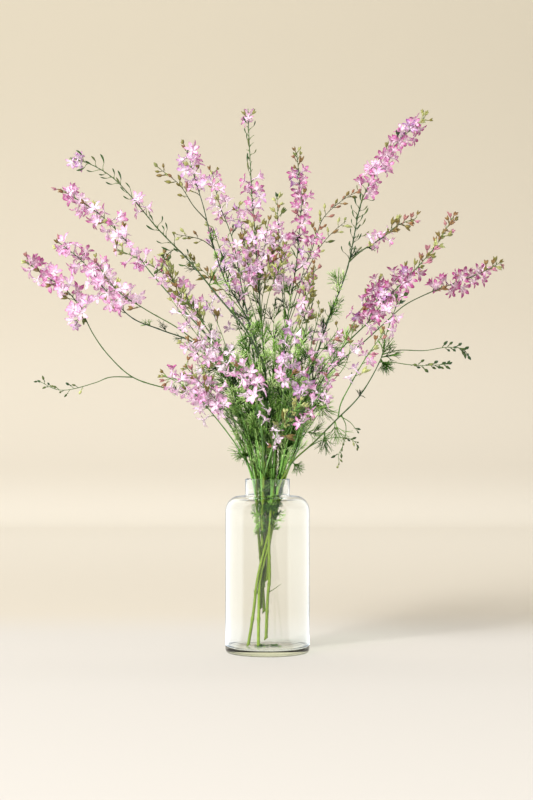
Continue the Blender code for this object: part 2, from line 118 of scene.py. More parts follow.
def new_piece(name, skin, finish, replaces=()):
    """Puts a skin into a mesh object that rides on the one body and stands for the CAD nodes named.

    A skin is points (n, 3), four-sided faces (m, 4), triangles (k, 3) and a chart (n, 2), which becomes
    the piece's map: how far along its own shape a point is, and the row that its colours come from.
    """
    points, quads, triangles, chart = skin
    corners = np.concatenate([quads.ravel(), triangles.ravel()]).astype(np.int32)
    sizes = np.repeat([4, 3], [len(quads), len(triangles)])
    mesh = bpy.data.meshes.new(name)
    mesh.vertices.add(len(points))
    mesh.vertices.foreach_set("co", points.astype(np.float32).ravel())
    mesh.loops.add(len(corners))
    mesh.loops.foreach_set("vertex_index", corners)
    mesh.polygons.add(len(sizes))
    mesh.polygons.foreach_set("loop_start", (np.cumsum(sizes) - sizes).astype(np.int32))
    mesh.uv_layers.new(name="chart").data.foreach_set("uv", chart[corners].astype(np.float32).ravel())
    mesh.update(calc_edges=True)
    mesh.validate()
    mesh.shade_smooth()
    mesh.materials.append(finish)
    piece = bpy.data.objects.new(name, mesh)
    bpy.context.scene.collection.objects.link(piece)
    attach(piece, "root")
    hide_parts(*replaces)
    return piece


def arc(centre, radii, start, end, steps=ARC_STEPS):
    """Points of an elliptical arc: centre + (width x cos a, height x sin a), from start to end degrees."""
    angle = np.radians(np.linspace(start, end, steps + 1))
    return np.column_stack([centre[0] + radii[0] * np.cos(angle), centre[1] + radii[1] * np.sin(angle)])


def vase_section():
    """The wall's section as (radius, height), from the underside's middle, up outside and down inside."""
    bore, inner = NECK_RADIUS - WALL, BODY_RADIUS - WALL
    shoulder = (BODY_RADIUS - SHOULDER_WIDTH, SHOULDER_FOOT)
    drop = SHOULDER_HEIGHT - SHOULDER_FOOT
    neck_foot = (NECK_RADIUS + NECK_FILLET, SHOULDER_HEIGHT + NECK_FILLET)
    top = VASE_HEIGHT - LIP_RADIUS
    corner = (inner - INNER_CORNER, FLOOR_THICKNESS + INNER_CORNER)
    straight = np.linspace(STRAIGHT_FROM, STRAIGHT_TO, 12)
    neck_edge = [(bore, SHOULDER_HEIGHT + 0.002), (bore + 0.0004, SHOULDER_HEIGHT - 0.0015)]
    return np.vstack([
        UNDERSIDE_HOLLOW,
        arc((BODY_RADIUS - HEEL_RADIUS, HEEL_RADIUS), (HEEL_RADIUS, HEEL_RADIUS), -90, 0),
        [(BODY_RADIUS, height) for height in straight],
        arc(shoulder, (SHOULDER_WIDTH, drop), 0, 90, 16),
        arc(neck_foot, (NECK_FILLET, NECK_FILLET), 270, 180, 6),
        arc((NECK_RADIUS - LIP_RADIUS, top), (LIP_RADIUS, LIP_RADIUS), 0, 90, 5),
        arc((bore + LIP_RADIUS, top), (LIP_RADIUS, LIP_RADIUS), 90, 180, 5),
        neck_edge,
        arc(shoulder, (SHOULDER_WIDTH - WALL, drop - WALL), 84, 0, 16),
        [(inner, height) for height in straight[::-1]],
        arc(corner, (INNER_CORNER, INNER_CORNER), 0, -90, 6),
        FLOOR_CROWN,
    ])


def round_faces(rings, sides):
    """The faces round a pile of rings, and the fans that close its two ends on points after the rings."""
    at = np.arange(rings * sides).reshape(rings, sides)
    after = np.roll(at, -1, axis=1)
    quads = np.stack([at[:-1], after[:-1], after[1:], at[1:]], axis=-1).reshape(-1, 4)
    foot, top = np.full(sides, rings * sides), np.full(sides, rings * sides + 1)
    low, high = (foot, after[0], at[0]), (top, at[-1], after[-1])
    return quads, np.vstack([np.stack(low, axis=-1), np.stack(high, axis=-1)])


def turned(section, sides):
    """The skin of a section turned about the Z axis: (radius cos a, radius sin a, height) for a all round.

    The section starts and ends on the axis, where a fan of triangles closes it.
    """
    angle = np.arange(sides) * 2 * math.pi / sides
    radius, height = section[1:-1, :1], np.repeat(section[1:-1, 1:], sides, axis=1)
    rings = np.stack([radius * np.cos(angle), radius * np.sin(angle), height], axis=-1)
    points = np.vstack([rings.reshape(-1, 3), [(0, 0, section[0, 1]), (0, 0, section[-1, 1])]])
    chart = np.column_stack([points[:, 2] / VASE_HEIGHT, np.full(len(points), 0.5)])
    return points, *round_faces(len(rings), sides), chart


def clear_glass():
    """Clear glass that tints with depth, with the slow waves and faint smears of a blown bottle."""
    finish, tree, shader, out = new_finish(
        "clear_glass", Base_Color=GLASS_TINT, Transmission_Weight=1.0, IOR=1.5, Roughness=0.0
    )
    place = object_place(tree)
    waves = put(tree, "TexNoise", {"Vector": place, "Scale": WAVE_SCALE, "Detail": 1.0}).outputs["Fac"]
    drawn = put(tree, "Mapping", {"Vector": place, "Scale": SMEAR_STRETCH}).outputs[0]
    smears = put(tree, "TexNoise", {"Vector": drawn, "Scale": SMEAR_SCALE, "Detail": 2.0, "Roughness": 0.6})
    haze = between(tree, smears.outputs["Fac"], 0.52, 0.85, 0.0, MOST_SMEAR)
    ripple = put(tree, "Bump", {"Strength": WAVE_RELIEF, "Distance": WAVE_HEIGHT, "Height": waves})
    tree.links.new(haze, shader.inputs["Roughness"])
    tree.links.new(ripple.outputs["Normal"], shader.inputs["Normal"])
    lets_light = put(tree, "BsdfTransparent", {"Color": GLASS_SHADOW_TINT}).outputs["BSDF"]
    in_shadow = put(tree, "LightPath").outputs["Is Shadow Ray"]
    both = put(tree, "MixShader", {0: in_shadow, 1: shader.outputs["BSDF"], 2: lets_light})
    tree.links.new(both.outputs["Shader"], out.inputs["Surface"])
    depth = put(tree, "VolumeAbsorption", {"Color": GLASS_DEPTH_TINT, "Density": GLASS_DEPTH_DENSITY})
    tree.links.new(depth.outputs["Volume"], out.inputs["Volume"])
    return finish


stands_for = ["vase_body", "vase_neck"]
new_piece("glass_vase", turned(vase_section(), VASE_SIDES), clear_glass(), stands_for)


# The cut stems: ten slender round stalks that stand in the vase, cross at its neck and fan out above it.
# Each has a faint swelling at every leaf scar and a slanted cut foot. Fresh green, duller above.

CURVE_STEPS = 24
STEM_SIDES = 8
STEM_STEP = 0.003
STEM_RADII = ((0.0, 0.0024), (0.25, 0.0019), (0.40, 0.0015), (0.70, 0.0010), (1.0, 0.0005))
SCAR_SPACING = 0.041
SCAR_SWELL = 0.32
SCAR_HALF_LENGTH = 0.0024
CUT_SLANT = 0.9
HEADING_REACH = 0.002
FRESH_STALK = (0.128, 0.192, 0.016, 1.0)
DULL_STALK = (0.032, 0.062, 0.012, 1.0)
FRESH_BELOW, DULL_ABOVE = 0.22, 0.36
# How dark the lowest colour row is and how pale the highest, as shares of the stalk's own green.
ROW_GAINS = (0.75, 2.4)
# Each stem's colour row is this step past the one before, round the unit, and then scaled down.
STEM_ROW_STEP, STEM_ROW_SPAN = 0.7, 0.8
# Each stem's middle line, from its cut foot to its tip.
STEMS = {
    "far_left": (
        (-0.005, 0, 0.06), (-0.008, 0.001, 0.11), (-0.012, -0.001, 0.16), (-0.0155, -0.0035, 0.205),
        (-0.017, -0.006, 0.258), (-0.021, -0.007, 0.28), (-0.037, -0.007, 0.348),
        (-0.047, -0.004, 0.388), (-0.07, 0, 0.431), (-0.11, 0.006, 0.464), (-0.161, 0.01, 0.484),
        (-0.204, 0.014, 0.502), (-0.241, 0.018, 0.54), (-0.28, 0.02, 0.588), (-0.316, 0.02, 0.617),
    ),
    "left": (
        (-0.0105, 0.004, 0.064), (-0.0103, 0.0055, 0.1), (-0.0097, 0.0056, 0.13),
        (-0.0078, 0.0022, 0.16), (-0.01, 0.001, 0.205), (-0.011, 0.003, 0.258), (-0.016, 0.008, 0.29),
        (-0.026, 0.016, 0.34), (-0.042, 0.028, 0.394), (-0.069, 0.042, 0.447), (-0.103, 0.055, 0.489),
        (-0.143, 0.066, 0.533), (-0.181, 0.076, 0.577), (-0.21, 0.082, 0.615), (-0.257, 0.088, 0.665),
        (-0.319, 0.09, 0.706),
    ),
    "arching": (
        (-0.008, -0.0044, 0.16), (-0.0076, -0.007, 0.205), (-0.0055, -0.014, 0.258),
        (-0.004, -0.028, 0.317), (-0.002, -0.045, 0.377), (-0.005, -0.06, 0.427), (-0.018, -0.07, 0.455),
        (-0.033, -0.076, 0.481), (-0.069, -0.09, 0.523), (-0.111, -0.102, 0.574), (-0.156, -0.11, 0.62),
        (-0.198, -0.115, 0.67), (-0.222, -0.118, 0.694), (-0.25, -0.12, 0.711), (-0.282, -0.12, 0.722),
    ),
    "tall_left": (
        (-0.004, 0.004, 0.105), (-0.0038, 0.0033, 0.13), (-0.003, 0.0015, 0.16),
        (-0.0015, -0.001, 0.205), (0.0005, -0.004, 0.258), (-0.002, -0.01, 0.348),
        (-0.011, -0.017, 0.422), (-0.023, -0.024, 0.482), (-0.045, -0.032, 0.525),
        (-0.063, -0.038, 0.555), (-0.082, -0.048, 0.612), (-0.095, -0.054, 0.664),
        (-0.106, -0.058, 0.699), (-0.118, -0.06, 0.745),
    ),
    "tallest": (
        (-0.006, 0.009, 0.095), (-0.0044, 0.0075, 0.13), (-0.0028, 0.0065, 0.16),
        (0.0005, 0.0055, 0.205), (0.004, 0.004, 0.258), (-0.001, 0.005, 0.378), (-0.008, 0.005, 0.483),
        (-0.014, 0.004, 0.558), (-0.019, 0, 0.633), (-0.023, -0.005, 0.677), (-0.025, -0.01, 0.715),
        (-0.028, -0.016, 0.78), (-0.029, -0.02, 0.811),
    ),
    "tall_right": (
        (-0.0022, -0.012, 0.021), (0.0005, -0.012, 0.085), (0.0032, -0.0115, 0.115),
        (0.0023, -0.01, 0.16), (0.0045, -0.0085, 0.205), (0.01, -0.005, 0.258), (0.019, 0.018, 0.378),
        (0.028, 0.036, 0.485), (0.038, 0.045, 0.547), (0.044, 0.05, 0.586), (0.051, 0.056, 0.664),
        (0.053, 0.058, 0.686), (0.05, 0.06, 0.71), (0.045, 0.06, 0.759),
    ),
    "spike": (
        (0, -0.001, 0.108), (0.001, 0.0005, 0.13), (0.0024, 0.0032, 0.16), (0.011, 0.005, 0.205),
        (0.0205, 0.005, 0.258), (0.038, 0.012, 0.333), (0.056, 0.02, 0.393), (0.077, 0.026, 0.454),
        (0.095, 0.03, 0.508), (0.121, 0.036, 0.577), (0.142, 0.04, 0.677), (0.151, 0.04, 0.699),
        (0.179, 0.04, 0.745), (0.202, 0.04, 0.775), (0.239, 0.04, 0.808),
    ),
    "right": (
        (-0.0136, -0.003, 0.0088), (-0.013, -0.004, 0.06), (-0.011, -0.004, 0.11),
        (0.0012, -0.0015, 0.16), (0.013, 0, 0.21), (0.0255, -0.004, 0.258), (0.034, -0.009, 0.281),
        (0.056, -0.018, 0.341), (0.078, -0.028, 0.4), (0.108, -0.036, 0.451), (0.151, -0.044, 0.495),
        (0.173, -0.048, 0.524), (0.198, -0.052, 0.549), (0.231, -0.057, 0.584), (0.248, -0.059, 0.605),
        (0.271, -0.06, 0.643),
    ),
    "low_right": (
        (-0.029, 0, 0.009), (-0.021, -0.004, 0.06), (-0.015, -0.007, 0.11), (-0.003, -0.004, 0.16),
        (0.0095, -0.006, 0.21), (0.0205, -0.013, 0.256), (0.036, -0.0205, 0.284), (0.069, -0.038, 0.315),
        (0.099, -0.058, 0.346), (0.135, -0.078, 0.384), (0.166, -0.094, 0.442), (0.17, -0.098, 0.467),
        (0.178, -0.1, 0.491), (0.19, -0.1, 0.524),
    ),
    "back": (
        (-0.011, 0.011, 0.1), (-0.0092, 0.0095, 0.13), (-0.0075, 0.008, 0.16), (-0.006, 0.01, 0.205),
        (-0.0035, 0.013, 0.258), (-0.008, 0.03, 0.33), (-0.015, 0.05, 0.4), (-0.027, 0.068, 0.486),
        (-0.042, 0.085, 0.565), (-0.055, 0.098, 0.632), (-0.077, 0.106, 0.692), (-0.086, 0.11, 0.736),
    ),
}


class Route:
    """A smooth curve through given points, read by distance along it. A centripetal Catmull-Rom curve."""

    def __init__(self, points):
        given = np.array(points)
        ends = (2 * given[0] - given[1], 2 * given[-1] - given[-2])
        chain = np.vstack([ends[0], given, ends[1]])
        steps = np.diff(chain, axis=0)
        spans = np.sqrt(np.linalg.norm(steps, axis=1, keepdims=True))
        slopes = steps / spans
        speeds = slopes[:-1] + slopes[1:] - (chain[2:] - chain[:-2]) / (spans[:-1] + spans[1:])
        leaving, arriving = speeds[:-1] * spans[1:-1], speeds[1:] * spans[1:-1]
        t = np.linspace(0, 1, CURVE_STEPS, endpoint=False)[:, None]
        pieces = []
        for a, b, out, into in zip(given, given[1:], leaving, arriving):
            bow, twist = 3 * (b - a) - 2 * out - into, 2 * (a - b) + out + into
            pieces.append(a + out * t + bow * t**2 + twist * t**3)
        self.dense = np.vstack([*pieces, given[-1:]])
        self.along = np.append(0.0, np.cumsum(np.linalg.norm(np.diff(self.dense, axis=0), axis=1)))
        self.length = self.along[-1]

    def at(self, distance):
        """The points at some distances along the curve."""
        return np.array([np.interp(distance, self.along, self.dense[:, k]) for k in range(3)]).T

    def heading(self, distance):
        """The curve's directions there, from a little before to a little after."""
        before = np.maximum(distance - HEADING_REACH, 0)
        after = np.minimum(distance + HEADING_REACH, self.length)
        return unit(self.at(after) - self.at(before))

    def distance_at_height(self, height):
        """How far along it the curve first comes to a height."""
        return self.along[np.argmax(self.dense[:, 2] >= height)]

    def at_height(self, height):
        """The point where the curve first comes to a height."""
        return self.at(self.distance_at_height(height))


def unit(vectors):
    """The same directions at length one."""
    return vectors / np.linalg.norm(vectors, axis=-1, keepdims=True)


def charted(count, share, row):
    """The chart of many like sheets or tubes: the share along each, and its colour row."""
    chart = np.stack(np.broadcast_arrays(share[None, :], row), axis=-1)
    return np.broadcast_to(chart, (count, len(share), 2)).reshape(-1, 2)


def tubes(paths, radii, sides, rows, ends=(0.0, 1.0)):
    """The skin of many round stalks. paths is (tubes, rings, 3), and radii (tubes, rings).

    A ring stands square to the path at each of its points: point + radius (cos a x first + sin a x second).
    A fan closes each end. rows sets each stalk's colour row, and ends the chart's range along it.
    """
    count, rings = radii.shape
    way = unit(np.gradient(paths, axis=1))
    axis = np.eye(3)[np.abs(way).max(axis=1).argmin(axis=1)][:, None, :]
    first = unit(np.cross(way, axis))
    second = np.cross(way, first)
    angle = (np.arange(sides) * 2 * math.pi / sides)[:, None]
    around = first[:, :, None] * np.cos(angle) + second[:, :, None] * np.sin(angle)
    skin = (paths[:, :, None] + radii[:, :, None, None] * around).reshape(count, -1, 3)
    points = np.concatenate([skin, paths[:, :1], paths[:, -1:]], axis=1)
    quads, fans = round_faces(rings, sides)
    shift = (np.arange(count) * points.shape[1])[:, None, None]
    share = np.append(np.repeat(np.linspace(*ends, rings), sides), ends)
    chart = charted(count, share, np.asarray(rows, float).reshape(-1, 1))
    return points.reshape(-1, 3), (quads + shift).reshape(-1, 4), (fans + shift).reshape(-1, 3), chart


def stalk_skin(route, radius_shape, sides, step, row=0.0):
    """One stalk along a route, swollen at the scars: radius x (1 + swell x exp(-(distance / half)^2))."""
    distance = np.linspace(0.0, route.length, max(6, int(route.length / step)))
    radius = np.interp(distance / route.length, *np.transpose(radius_shape))
    off = (distance + SCAR_SPACING / 2) % SCAR_SPACING - SCAR_SPACING / 2
    radius = radius * (1 + SCAR_SWELL * np.exp(-((off / SCAR_HALF_LENGTH) ** 2)))
    return tubes(route.at(distance)[None], radius[None], sides, [row])


def worked(tree, operation, first, second):
    """One sum done on two values."""
    return put(tree, "Math", {0: first, 1: second}, operation=operation).outputs[0]


def scaled(tree, vector, by):
    """A colour or a vector times a number."""
    return put(tree, "VectorMath", {0: vector, "Scale": by}, operation="SCALE").outputs[0]


def mixed(tree, share, low, high):
    """The colour between two, by share."""
    return put(tree, "Mix", {0: share, 6: low, 7: high}, data_type="RGBA").outputs[2]


def chart_of(tree):
    """A skin's chart: the share along, and the colour row."""
    chart = put(tree, "SeparateXYZ", {0: put(tree, "UVMap", uv_map="chart").outputs[0]})
    return chart.outputs["X"], chart.outputs["Y"]


def mottle_group():
    """A shared effect: a colour lightened and darkened in soft patches, and their height."""
    group = bpy.data.node_groups.new("plant_mottle", "ShaderNodeTree")
    sockets = (("Colour", "Color"), ("Vector", "Vector"), ("Scale", "Float"), ("Strength", "Float"))
    for name, kind in sockets:
        group.interface.new_socket(name, in_out="INPUT", socket_type="NodeSocket" + kind)
    group.interface.new_socket("Colour", in_out="OUTPUT", socket_type="NodeSocketColor")
    group.interface.new_socket("Height", in_out="OUTPUT", socket_type="NodeSocketFloat")
    given, made = group.nodes.new("NodeGroupInput").outputs, group.nodes.new("NodeGroupOutput")
    feeds = {"Vector": given["Vector"], "Scale": given["Scale"], "Detail": 3.0}
    patches = put(group, "TexNoise", feeds).outputs["Fac"]
    low = worked(group, "SUBTRACT", 1.0, given["Strength"])
    high = worked(group, "ADD", 1.0, given["Strength"])
    shaded = scaled(group, given["Colour"], between(group, patches, 0.32, 0.68, low, high))
    group.links.new(shaded, made.inputs["Colour"])
    group.links.new(patches, made.inputs["Height"])
    return group


plant_mottle = mottle_group()


def add_mottle(tree, shader, colour, vector, scale, strength, relief):
    """Feeds a Principled shader with a mottled colour and its fine relief, and gives the colour."""
    feeds = {"Colour": colour, "Vector": vector, "Scale": scale, "Strength": strength}
    mottle = put(tree, "Group", feeds, node_tree=plant_mottle).outputs
    bump = put(tree, "Bump", {"Strength": relief, "Distance": 0.0004, "Height": mottle["Height"]})
    tree.links.new(mottle["Colour"], shader.inputs["Base Color"])
    tree.links.new(bump.outputs["Normal"], shader.inputs["Normal"])
    return mottle["Colour"]


def stalk_green(name, fresh_below, dull_above, fresh, dull, roughness, gloss):
    """Green stalk skin: fresh colour low down, dull high up, paler by its row, with fine streaks along it."""
    finish, tree, shader, _ = new_finish(name, Roughness=roughness, Specular_IOR_Level=gloss)
    place = object_place(tree)
    height = put(tree, "SeparateXYZ", {0: place}).outputs["Z"]
    share = between(tree, height, fresh_below, dull_above, interpolation_type="SMOOTHSTEP")
    row = chart_of(tree)[1]
    green = scaled(tree, mixed(tree, share, fresh, dull), between(tree, row, 0.0, 1.0, *ROW_GAINS))
    streaks = put(tree, "Mapping", {"Vector": place, "Scale": (1.0, 1.0, 0.12)}).outputs[0]
    add_mottle(tree, shader, green, streaks, scale=900.0, strength=0.22, relief=0.35)
    return finish


stem_finish = stalk_green(
    "stem_skin", FRESH_BELOW, DULL_ABOVE, FRESH_STALK, DULL_STALK, roughness=0.388, gloss=0.5
)
routes = {name: Route(points) for name, points in STEMS.items()}
for number, (name, route) in enumerate(routes.items()):
    row = number * STEM_ROW_STEP % 1 * STEM_ROW_SPAN
    skin = stalk_skin(route, STEM_RADII, STEM_SIDES, STEM_STEP, row)
    slanted = np.append(np.arange(STEM_SIDES), len(skin[0]) - 2)
    lean = (skin[0][slanted] - route.dense[0])[:, :1] * CUT_SLANT
    skin[0][slanted] += lean * route.heading(0.0)
    new_piece("stem_of_" + name, skin, stem_finish, ["stem_" + name])


# The side branches: thinner stalks that leave a stem or another branch in a leaf's axil and end in a spike
# of flowers. The thin shoots under them hold only buds and pods. The same skin as the stems, lighter.

BRANCH_SIDES = 6
BRANCH_STEP = 0.004
BRANCH_RADII = ((0.0, 0.0012), (0.15, 0.0010), (0.8, 0.0007), (1.0, 0.0004))
TWIG_RADII = ((0.0, 0.0009), (0.2, 0.0007), (1.0, 0.00035))
BRANCH_LOW = (0.100, 0.210, 0.045, 1.0)
BRANCH_HIGH = (0.048, 0.078, 0.018, 1.0)
BRANCH_ROW_STEP, BRANCH_ROW_SPAN = 0.3, 0.6
# For each shoot: the stalk and the height that it leaves, and its middle line from there on.
BRANCHES = {
    "long_left": ("far_left", 0.345, (
        (-0.062, -0.012, 0.368), (-0.093, -0.02, 0.379), (-0.144, -0.032, 0.393),
        (-0.199, -0.042, 0.411), (-0.234, -0.05, 0.443), (-0.256, -0.055, 0.474),
        (-0.277, -0.058, 0.516), (-0.297, -0.06, 0.54), (-0.322, -0.06, 0.556), (-0.353, -0.06, 0.579),
    )),
    "mid_left": ("far_left", 0.392, (
        (-0.063, -0.014, 0.416), (-0.1, -0.022, 0.458), (-0.133, -0.028, 0.484), (-0.18, -0.034, 0.511),
        (-0.223, -0.038, 0.54), (-0.254, -0.04, 0.582),
    )),
    "low_left": ("far_left", 0.274, (
        (-0.036, -0.02, 0.292), (-0.046, -0.028, 0.31), (-0.077, -0.05, 0.352), (-0.112, -0.075, 0.391),
        (-0.15, -0.09, 0.412),
    )),
    "inner_left": ("left", 0.438, (
        (-0.076, 0.028, 0.464), (-0.101, 0.015, 0.499), (-0.122, 0, 0.534), (-0.145, -0.012, 0.558),
        (-0.175, -0.02, 0.579), (-0.224, -0.025, 0.602),
    )),
    "back_low_left": ("left", 0.39, (
        (-0.06, 0.066, 0.418), (-0.09, 0.11, 0.44), (-0.13, 0.15, 0.463),
    )),
    "front_left": ("arching", 0.3, (
        (-0.009, -0.046, 0.326), (-0.014, -0.08, 0.365), (-0.02, -0.108, 0.395), (-0.038, -0.13, 0.416),
        (-0.062, -0.145, 0.43),
    )),
    "front_lilac": ("tallest", 0.285, (
        (0.012, -0.012, 0.312), (0.018, -0.042, 0.35), (0.025, -0.075, 0.4), (0.032, -0.1, 0.445),
        (0.037, -0.12, 0.487),
    )),
    "back_centre": ("tall_right", 0.44, (
        (0.027, 0.066, 0.49), (0.022, 0.104, 0.565), (0.018, 0.13, 0.635), (0.015, 0.14, 0.702),
    )),
    "side_right": ("spike", 0.585, (
        (0.14, 0.016, 0.602), (0.172, -0.02, 0.62), (0.194, -0.04, 0.636), (0.217, -0.055, 0.643),
    )),
    "back_right": ("spike", 0.4, (
        (0.064, 0.062, 0.435), (0.07, 0.112, 0.475), (0.079, 0.152, 0.505), (0.084, 0.182, 0.528),
    )),
    "far_right": ("right", 0.405, (
        (0.105, -0.006, 0.432), (0.15, 0.028, 0.47), (0.185, 0.054, 0.502), (0.211, 0.068, 0.525),
        (0.252, 0.078, 0.546), (0.299, 0.08, 0.564), (0.334, 0.08, 0.578), (0.36, 0.08, 0.592),
    )),
    "front_right": ("low_right", 0.28, (
        (0.045, -0.044, 0.304), (0.052, -0.074, 0.334), (0.062, -0.106, 0.362), (0.076, -0.13, 0.386),
        (0.089, -0.146, 0.404),
    )),
    "inner_right": ("low_right", 0.35, (
        (0.106, -0.082, 0.37), (0.119, -0.112, 0.398), (0.14, -0.132, 0.436), (0.166, -0.142, 0.472),
    )),
    "back_lilac": ("back", 0.525, (
        (-0.052, 0.07, 0.56), (-0.07, 0.062, 0.602), (-0.084, 0.056, 0.645),
    )),
}
BUD_TWIGS = {
    "long_left": ("long_left", 0.41, (
        (-0.232, -0.058, 0.41), (-0.252, -0.063, 0.402), (-0.302, -0.075, 0.391), (-0.334, -0.08, 0.405),
    )),
    "arching": ("arching", 0.576, (
        (-0.13, -0.112, 0.592), (-0.146, -0.119, 0.58), (-0.151, -0.122, 0.562),
    )),
    "tall_left_high": ("tall_left", 0.64, (
        (-0.108, -0.065, 0.66), (-0.128, -0.071, 0.69), (-0.158, -0.074, 0.714),
    )),
    "tall_right_high": ("tall_right", 0.574, (
        (0.06, 0.045, 0.59), (0.073, 0.043, 0.624), (0.085, 0.042, 0.656), (0.114, 0.04, 0.683),
        (0.138, 0.038, 0.697),
    )),
    "tall_right_low": ("tall_right", 0.548, (
        (0.054, 0.056, 0.566), (0.079, 0.064, 0.612), (0.1, 0.066, 0.637), (0.121, 0.066, 0.655),
    )),
    "low_right_high": ("low_right", 0.441, (
        (0.188, -0.091, 0.448), (0.228, -0.086, 0.448), (0.262, -0.082, 0.453), (0.284, -0.08, 0.45),
        (0.291, -0.08, 0.442),
    )),
    "low_right_low": ("low_right", 0.43, (
        (0.18, -0.108, 0.43), (0.198, -0.113, 0.427), (0.222, -0.117, 0.425), (0.259, -0.12, 0.427),
    )),
    "low_right_hanging": ("low_right", 0.354, (
        (0.114, -0.078, 0.338), (0.11, -0.085, 0.312), (0.103, -0.087, 0.297), (0.104, -0.087, 0.282),
    )),
    "tall_left_low": ("tall_left", 0.598, ((-0.097, -0.056, 0.612), (-0.133, -0.062, 0.619))),
    "low_right_drooping": ("low_right", 0.352, (
        (0.121, -0.082, 0.343), (0.128, -0.085, 0.334), (0.132, -0.086, 0.330),
    )),
    "low_right_level": ("low_right", 0.308, (
        (0.082, -0.078, 0.319), (0.098, -0.082, 0.322), (0.116, -0.086, 0.321), (0.125, -0.088, 0.317),
        (0.131, -0.088, 0.309),
    )),
}
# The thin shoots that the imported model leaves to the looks.
EXTRA_TWIGS = ("tall_left_low", "low_right_drooping", "low_right_level")


def shoot_route(parent, leaves_at, points):
    """The route of a shoot, from the middle of the stalk that it leaves."""
    return Route([routes[parent].at_height(leaves_at), *points])


branch_finish = stalk_green(
    "branch_skin", 0.30, 0.60, BRANCH_LOW, BRANCH_HIGH, roughness=0.5, gloss=0.22
)
for number, (name, shoot) in enumerate(BRANCHES.items()):
    routes[name] = shoot_route(*shoot)
    row = number * BRANCH_ROW_STEP % 1 * BRANCH_ROW_SPAN
    skin = stalk_skin(routes[name], BRANCH_RADII, BRANCH_SIDES, BRANCH_STEP, row)
    new_piece("branch_of_" + name, skin, branch_finish, ["branch_" + name])
twig_routes = {name: shoot_route(*shoot) for name, shoot in BUD_TWIGS.items()}
twig_nodes = {name: ["bud_twig_" + name] for name in BUD_TWIGS if name not in EXTRA_TWIGS}
for name, route in twig_routes.items():
    skin = stalk_skin(route, TWIG_RADII, BRANCH_SIDES, BRANCH_STEP)
    new_piece("twig_of_" + name, skin, branch_finish, twig_nodes.get(name, []))


# The flower spikes: round each stalk's end, thin flower stalks stand a golden angle apart, each in the axil
# of a narrow bract. Along a spike the oldest, lowest ones hold pods, then open flowers, and the top buds.

GOLDEN_ANGLE = math.radians(137.5)
TURN_SCATTER = 0.3
CROWDING = 1.15
TIP_SHORTENING = 0.38
SPRAY_SIDES = 5
FLOWER_STALK_RADII = np.linspace(1.15, 0.90, 5) * 0.00038
BRACT_LENGTH = 0.0065
BRACT_RADII = (0.0004, 0.0006, 0.0005, 0.0001)
POD, FLOWER, BUD, BARE = 0, 1, 2, 3
# How far the stalk of each of these kinds leans up its spike.
LEAN_UP = np.array([0.60, 0.45, 0.75, 0.75])
LEAN_OUT, LEAN_SKYWARD, LEAN_SCATTER = 0.85, 0.10, 0.18
BUDS_AMONG = 0.10
UP = np.array([0.0, 0.0, 1.0])
# For each spike: its length, the spacing and the length of its flower stalks and the length of a petal, in
# millimetres; the shares of it below which it holds pods and above which buds; its flowers' shade (0 palest,
# 1 deepest) and the share of them that are lilac; and its buds' tint (0 dark green, 1 pinkish brown).
SPIKES = {
    "far_left": (153, 4.5, 14, 15.0, 0.00, 0.93, 0.45, 0.00, 0.70),
    "left": (138, 4.1, 14, 15.0, 0.00, 0.95, 0.48, 0.00, 0.70),
    "arching": (235, 6.6, 14, 12.0, 0.95, 1.00, 0.50, 0.85, 0.10),
    "tall_left": (73, 3.7, 13, 14.0, 0.00, 0.95, 0.48, 0.35, 0.60),
    "tallest": (267, 5.0, 14, 13.5, 0.00, 0.61, 0.45, 0.20, 0.60),
    "tall_right": (155, 4.5, 11, 13.0, 0.00, 0.82, 0.74, 0.05, 0.74),
    "spike": (255, 3.4, 14, 14.0, 0.40, 0.96, 0.68, 0.15, 0.35),
    "right": (212, 3.9, 11, 13.5, 0.00, 0.56, 0.84, 0.05, 0.66),
    "low_right": (65, 6.0, 12, 11.5, 0.10, 0.70, 0.55, 0.05, 0.10),
    "back": (85, 4.6, 13, 13.5, 0.00, 0.90, 0.45, 0.30, 0.50),
    "long_left": (129, 4.0, 14, 15.0, 0.00, 0.95, 0.45, 0.00, 0.60),
    "mid_left": (98, 4.6, 14, 15.0, 0.00, 0.94, 0.40, 0.05, 0.65),
    "low_left": (104, 4.6, 14, 14.0, 0.00, 0.88, 0.34, 0.00, 0.60),
    "inner_left": (157, 5.5, 13, 14.0, 0.00, 0.88, 0.48, 0.05, 0.60),
    "back_low_left": (93, 10.0, 13, 11.5, 0.00, 0.75, 0.14, 0.00, 0.50),
    "front_left": (81, 5.2, 14, 15.0, 0.00, 0.94, 0.44, 0.05, 0.65),
    "front_lilac": (99, 8.4, 13, 13.0, 0.00, 0.92, 0.22, 0.65, 0.60),
    "back_centre": (144, 6.3, 12, 12.0, 0.00, 0.70, 0.42, 0.15, 0.45),
    "side_right": (99, 4.6, 9, 10.5, 0.00, 0.42, 0.50, 0.05, 0.66),
    "back_right": (103, 9.5, 12, 11.5, 0.00, 0.70, 0.24, 0.10, 0.55),
    "far_right": (118, 4.0, 11, 14.0, 0.00, 0.78, 0.86, 0.00, 0.68),
    "front_right": (79, 10.0, 13, 13.0, 0.00, 0.88, 0.42, 0.15, 0.65),
    "inner_right": (102, 8.0, 11, 11.5, 0.10, 0.55, 0.46, 0.05, 0.72),
    "back_lilac": (73, 7.5, 12, 12.0, 0.00, 0.88, 0.35, 0.50, 0.50),
}
# Spikes whose upper part, short of its last buds, has set pods already.
PODS_ON_TOP = ("tallest",)
LAST_BUDS = 0.94
# The stretch of a podded spike that still flowers.
LATE_FLOWERS = {"arching": (0.38, 0.50)}
